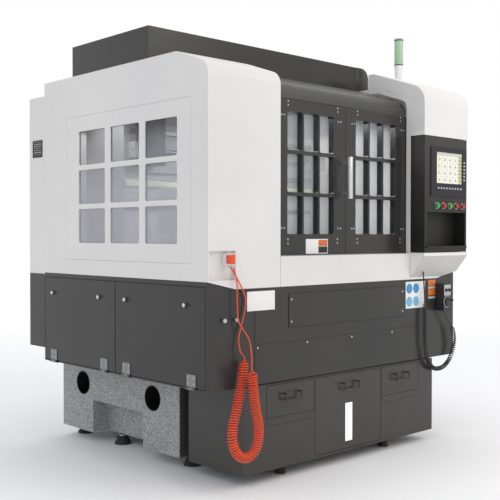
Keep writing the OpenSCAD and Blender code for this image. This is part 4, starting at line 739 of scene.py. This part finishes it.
# rims of the chrome knobs and screws of the hinges on the service doors
flaps = {"knobZ": 812, "rim": [(9.2, 2.2), (10.5, 2.2), (13.5, 0.8), (14, 0)], "rimSides": 32,
         "r": 4.5, "h": 1.8, "screwX": -3, "screwStep": (-20, 20), "screwZ": (475.5, 501.5),
         "doors": (("front", "front_flap", (145, 591), (109, 590)),
                   ("rear", "rear_flap", (814, 1247), (778, 1246)))}
for name, body, knobY, hingeY in flaps["doors"]:
    bm = bmesh.new()
    for y in knobY:
        addTurned(bm, spot(0, y, flaps["knobZ"]), "left", flaps["rim"], flaps["rimSides"])
    makePiece(name + "KnobRims", bm, "sealRubber", body)
    bm = bmesh.new()
    for y in [middle + step for middle in hingeY for step in flaps["screwStep"]]:
        for z in flaps["screwZ"]:
            addScrew(bm, spot(flaps["screwX"], y, z), "left", flaps["r"], flaps["h"])
    makePiece(name + "HingeScrews", bm, "screwSteel", body)

# lock nuts on the levelling feet
footNuts = {"x": (310, 1490), "y": (479, 1068, 1430), "z": 42, "sides": 6,
            "profile": [(14.2, 0), (21, 0), (23, 1.5), (23, 9.5), (21, 11), (14.2, 11)]}
bm = bmesh.new()
for x in footNuts["x"]:
    for y in footNuts["y"]:
        addTurned(bm, spot(x, y, footNuts["z"]), "up", footNuts["profile"], footNuts["sides"])
makePiece("footNuts", bm, "screwSteel", "machine")

# air outlet: orange body with its release button on the outlet block, and the ferrules of the hose
outlet = {"body": {"x": (92.6, 127.4), "y": (-35, -5), "z": (988, 1033), "edge": 7.0},
          "button": {"x": (102, 120), "y": (-37.5, -34), "z": (1005, 1027), "edge": 1.5}}
bm = bmesh.new()
for plate in outlet.values():
    addPlate(bm, **plate)
makePiece("outletBody", bm, "orangeHose", "machine")
ferrules = {"at": ((112, -8, 985), (118, -24, 985)), "sides": 20,
            "profile": [(3.2, 0), (6.4, 0), (6.4, 8), (4.8, 11), (3.2, 11)]}
bm = bmesh.new()
for at in ferrules["at"]:
    addTurned(bm, spot(*at), "down", ferrules["profile"], ferrules["sides"])
makePiece("hoseFerrules", bm, "screwSteel", "machine")
print("small pieces done")

# painted shade: a dark sheet on the front of the casting, where the gap behind the housing lies in shade
baseShadeSheet = {"x": (193, 1607), "y": (432.4, 434), "z": (62, 736), "edge": 0.7, "look": "roofPaint",
             "slot": "dark_paint"}
makePlate("baseShadeSheet", baseShadeSheet)

# painted shade: black sleeves in the lifting bores darken them as they look in shade
sleeve = {"x": (188, 1612), "z": 315, "y": (644, 1269), "r": 61.8, "t": 1.6, "sides": 40}
bm = bmesh.new()
r, inner = sleeve["r"], sleeve["r"] - sleeve["t"]
length = sleeve["x"][1] - sleeve["x"][0]
profile = [(inner, 0), (r, 0), (r, length), (inner, length), (inner, 0)]
for y in sleeve["y"]:
    addTurned(bm, spot(sleeve["x"][0], y, sleeve["z"]), "right", profile, sleeve["sides"])
makePiece("boreShadeSleeves", bm, "ventBlack", "machine")

# duct under the gantry's beam, a strip below it and the dark cover of the cross drive
gantryTrim = {
    "beamDuct": {"x": (206, 1594), "y": (885, 899), "z": (1364, 1397), "edge": 2.0, "look": "ductCream",
                 "slot": "fitting"},
    "crossStrip": {"x": (214, 1586), "y": (887, 899), "z": (1246, 1265), "edge": 1.5, "look": "roofPaint",
                   "slot": "motor"},
    # the box paint's painted shade also darkens the lower part of this cover
    "driveCover": {"x": (272, 393), "y": (800, 898), "z": (1470, 1716), "edge": 3.0, "look": "boxPaintShadedLow",
                   "slot": "motor"},
}
for name, plate in gantryTrim.items():
    makePlate(name, plate)

# rubber seals behind the panes of the side window
paneSeals = {"x": (10.2, 15.0), "wide": 6.0, "y": (209, 1007), "z": (1075, 1632), "barY": 45, "barZ": 25,
             "count": 3, "edge": 1.0}
bm = bmesh.new()
count, wide = paneSeals["count"], paneSeals["wide"]
paneY = (paneSeals["y"][1] - paneSeals["y"][0] - (count - 1) * paneSeals["barY"]) / count
paneZ = (paneSeals["z"][1] - paneSeals["z"][0] - (count - 1) * paneSeals["barZ"]) / count
for column in range(count):
    for row in range(count):
        y = paneSeals["y"][0] + column * (paneY + paneSeals["barY"])
        z = paneSeals["z"][0] + row * (paneZ + paneSeals["barZ"])
        for low in (y - wide, y + paneY):
            addPlate(bm, paneSeals["x"], (low, low + wide), (z - wide, z + paneZ + wide), paneSeals["edge"])
        for low in (z - wide, z + paneZ):
            addPlate(bm, paneSeals["x"], (y, y + paneY), (low, low + wide), paneSeals["edge"])
makePiece("paneSeals", bm, "sealRubber", "machine")

# work light bar inside the header
workLight = {
    "workLightBody": {"x": (560, 1270), "y": (88, 128), "z": (1776, 1800), "edge": 4.0, "look": "anodised",
                      "slot": "alu"},
    "workLightLens": {"x": (572, 1258), "y": (93, 123), "z": (1771, 1778), "edge": 2.0,
                      "look": "lampDiffuser", "slot": "lamp_white"},
}
for name, plate in workLight.items():
    makePlate(name, plate)

# back of the rear cabinet: two panels with latches and hinges
rear = {"x": ((44, 888), (912, 1756)), "y": (1500, 1501.6), "z": (944, 1816), "edge": 0.7}
bm = bmesh.new()
for x in rear["x"]:
    addPlate(bm, x, rear["y"], rear["z"], rear["edge"])
makePiece("rearPanels", bm, "whitePaint", "machine")
latches = {"x": (874, 926), "y": 1501.6, "z": (1120, 1640), "facing": "back", "sides": 24,
           "profile": [(0, 4), (5, 4), (5, 2.5), (9, 2.5), (10, 0)]}
hinges = {"x": (40, 1760), "y": 1502, "z": (1000, 1340, 1680), "facing": "up", "sides": 16,
          "profile": [(0, 0), (4, 0), (5, 1), (5, 79), (4, 80), (0, 80)]}
bm = bmesh.new()
for part in (latches, hinges):
    for x in part["x"]:
        for z in part["z"]:
            addTurned(bm, spot(x, part["y"], z), part["facing"], part["profile"], part["sides"])
makePiece("rearLatches", bm, "screwSteel", "machine")

# back of the lower cabinet: a gland plate, a field of louvres and cable glands
glandPlate = {"x": (1290, 1690), "y": (1500, 1501.6), "z": (610, 790), "edge": 0.7}
louvres = {"x": (150, 480), "y": (1500, 1502.4), "z": 620, "high": 12, "pitch": 24, "count": 7, "edge": 1.0}
bm = bmesh.new()
addPlate(bm, **glandPlate)
for i in range(louvres["count"]):
    low = louvres["z"] + i * louvres["pitch"]
    addPlate(bm, louvres["x"], louvres["y"], (low, low + louvres["high"]), louvres["edge"])
makePiece("glandPlate", bm, "plateZinc", "machine")
glands = {"x": 1340, "y": 1501.6, "z": 700, "pitch": 75, "count": 5, "sides": 24,
          "profile": [(0, 3), (9, 3), (9, 7), (15, 7), (16, 5), (16, 2.5), (21, 2.5), (22, 0)]}
bm = bmesh.new()
for i in range(glands["count"]):
    at = spot(glands["x"] + i * glands["pitch"], glands["y"], glands["z"])
    addTurned(bm, at, "back", glands["profile"], glands["sides"])
makePiece("cableGlands", bm, "sealRubber", "machine")

# right side: two plain screwed panels on the cabinet
side = {"x": (1800, 1801.5), "y": ((24, 668), (692, 1324)), "z": (470, 890), "edge": 0.7,
        "inset": 20, "r": 5.0, "h": 2.2}
bm = bmesh.new()
for y in side["y"]:
    addPlate(bm, side["x"], y, side["z"], side["edge"])
makePiece("sidePanels", bm, "darkPaint", "machine")
bm = bmesh.new()
for low, high in side["y"]:
    for y in (low + side["inset"], (low + high) / 2, high - side["inset"]):
        for z in (side["z"][0] + side["inset"], side["z"][1] - side["inset"]):
            addScrew(bm, spot(side["x"][1], y, z), "right", side["r"], side["h"])
makePiece("sideScrews", bm, "screwSteel", "machine")
print("plain sides done")

# end cover over the roof box, with one rounded shoulder
endCover = {"x": (1452, 1559), "y": (416, 1062), "z": (1915.3, 2064.2), "r": 61, "steps": 8, "edge": 1.0,
            "sharp": 0.8}
bm = bmesh.new()
(left, right), (low, high), r = endCover["x"], endCover["z"], endCover["r"]
outline = [(left, low), (right, low)]
for i in range(endCover["steps"] + 1):
    turn = math.pi / 2 * i / endCover["steps"]
    outline.append((right - r * (1 - math.cos(turn)), high - r * (1 - math.sin(turn))))
outline.append((left, high))
front, back = [[bm.verts.new(spot(x, y, z)) for x, z in outline] for y in endCover["y"]]
for ring in (front, back):
    bm.faces.new(ring)
for i in range(len(outline)):
    bm.faces.new((front[i - 1], front[i], back[i], back[i - 1]))
bmesh.ops.recalc_face_normals(bm, faces=bm.faces[:])
sharp = [e for e in bm.edges if e.calc_face_angle() > endCover["sharp"]]
bmesh.ops.bevel(bm, geom=sharp, offset=size(endCover["edge"]), segments=2, profile=0.5, affect="EDGES",
                material=-1)
makePiece("roofEndCover", bm, "darkPaint", "machine")

# stage: pale floor, white surround, soft lamps; the inner lamps stand in for light between the covers
stage = {"floor": "#FFFFFF", "rough": 0.9, "reach": 9.0, "fade": (2.4, 6.0), "surround": 0.85,
         "sky": "#F8FAFF", "aim": (0, 0, 1.0)}
lamps = {
    "key": {"at": (1.6, -5.2, 4.6), "size": 3.6, "power": 96, "tint": "#FFF4E6"},
    "side": {"at": (-5.6, -0.6, 3.2), "size": 3.6, "power": 4, "tint": "#FAFCFF"},
    "top": {"at": (0.0, 0.4, 5.6), "size": 4.0, "power": 30, "tint": "#FFFFFF"},
}
innerLamps = {
    "chamber": {"at": (915, 300, 1734), "size": (0.7, 0.36), "power": 10.6},
    "recess": {"at": (800, 1370, 1700), "size": (1.2, 0.2), "power": 1.4},
    "flank": {"at": (100, 850, 1700), "size": (0.1, 0.6), "power": 1.0},
    "farSide": {"at": (1640, 850, 1760), "size": (0.12, 0.6), "power": 0.85},
}


def makeFloor():  # fades out far from the machine
    bm = bmesh.new()
    bmesh.ops.create_grid(bm, x_segments=1, y_segments=1, size=stage["reach"])
    mesh = bpy.data.meshes.new("floor")
    bm.to_mesh(mesh)
    bm.free()
    floor = bpy.data.objects.new("floor", mesh)
    bpy.context.collection.objects.link(floor)
    material, tree, shader = newMaterial("floor")
    shader.inputs["Base Color"].default_value = tone(stage["floor"])
    shader.inputs["Roughness"].default_value = stage["rough"]
    reach = tree.nodes.new("ShaderNodeVectorMath")
    reach.operation = "LENGTH"
    tree.links.new(objectPlace(tree), reach.inputs[0])
    fade = tree.nodes.new("ShaderNodeMixShader")
    tree.links.new(addRange(tree, reach.outputs["Value"], *stage["fade"]), fade.inputs[0])
    tree.links.new(shader.outputs[0], fade.inputs[1])
    tree.links.new(tree.nodes.new("ShaderNodeBsdfTransparent").outputs[0], fade.inputs[2])
    tree.links.new(fade.outputs[0], tree.nodes["Material Output"].inputs["Surface"])
    mesh.materials.append(material)


def makeSurround():  # white where it is seen or mirrored, a little less as light
    world = bpy.data.worlds.new("surround")
    bpy.context.scene.world = world
    world.use_nodes = True
    tree = world.node_tree
    tree.nodes.clear()
    path = tree.nodes.new("ShaderNodeLightPath")
    seen = addMath(tree, "ADD", path.outputs["Is Camera Ray"], path.outputs["Is Glossy Ray"])
    seen = addMath(tree, "ADD", seen, path.outputs["Is Transmission Ray"])
    mix = tree.nodes.new("ShaderNodeMixShader")
    tree.links.new(addMath(tree, "MINIMUM", seen, 1.0), mix.inputs[0])
    for place, colour, strength in ((1, stage["sky"], stage["surround"]), (2, "#FFFFFF", 1.0)):
        light = tree.nodes.new("ShaderNodeBackground")
        light.inputs["Color"].default_value = tone(colour)
        light.inputs["Strength"].default_value = strength
        tree.links.new(light.outputs[0], mix.inputs[place])
    tree.links.new(mix.outputs[0], tree.nodes.new("ShaderNodeOutputWorld").inputs["Surface"])


def newLamp(name, lamp, at):
    data = bpy.data.lights.new(name, "AREA")
    data.energy = lamp["power"]
    light = bpy.data.objects.new(name, data)
    light.location = at
    bpy.context.collection.objects.link(light)
    return light


def makeLamps():
    for name, lamp in lamps.items():
        light = newLamp(name, lamp, lamp["at"])
        light.data.size = lamp["size"]
        light.data.color = tone(lamp["tint"])[:3]
        aim = Vector(stage["aim"]) - Vector(lamp["at"])
        light.rotation_euler = aim.to_track_quat("-Z", "Y").to_euler()
    for name, lamp in innerLamps.items():
        light = newLamp(name, lamp, spot(*lamp["at"]))
        light.data.shape = "RECTANGLE"
        light.data.size, light.data.size_y = lamp["size"]
        light.visible_camera = False


makeFloor()
makeSurround()
makeLamps()
bpy.context.scene.view_settings.view_transform = "Standard"
print("stage done")
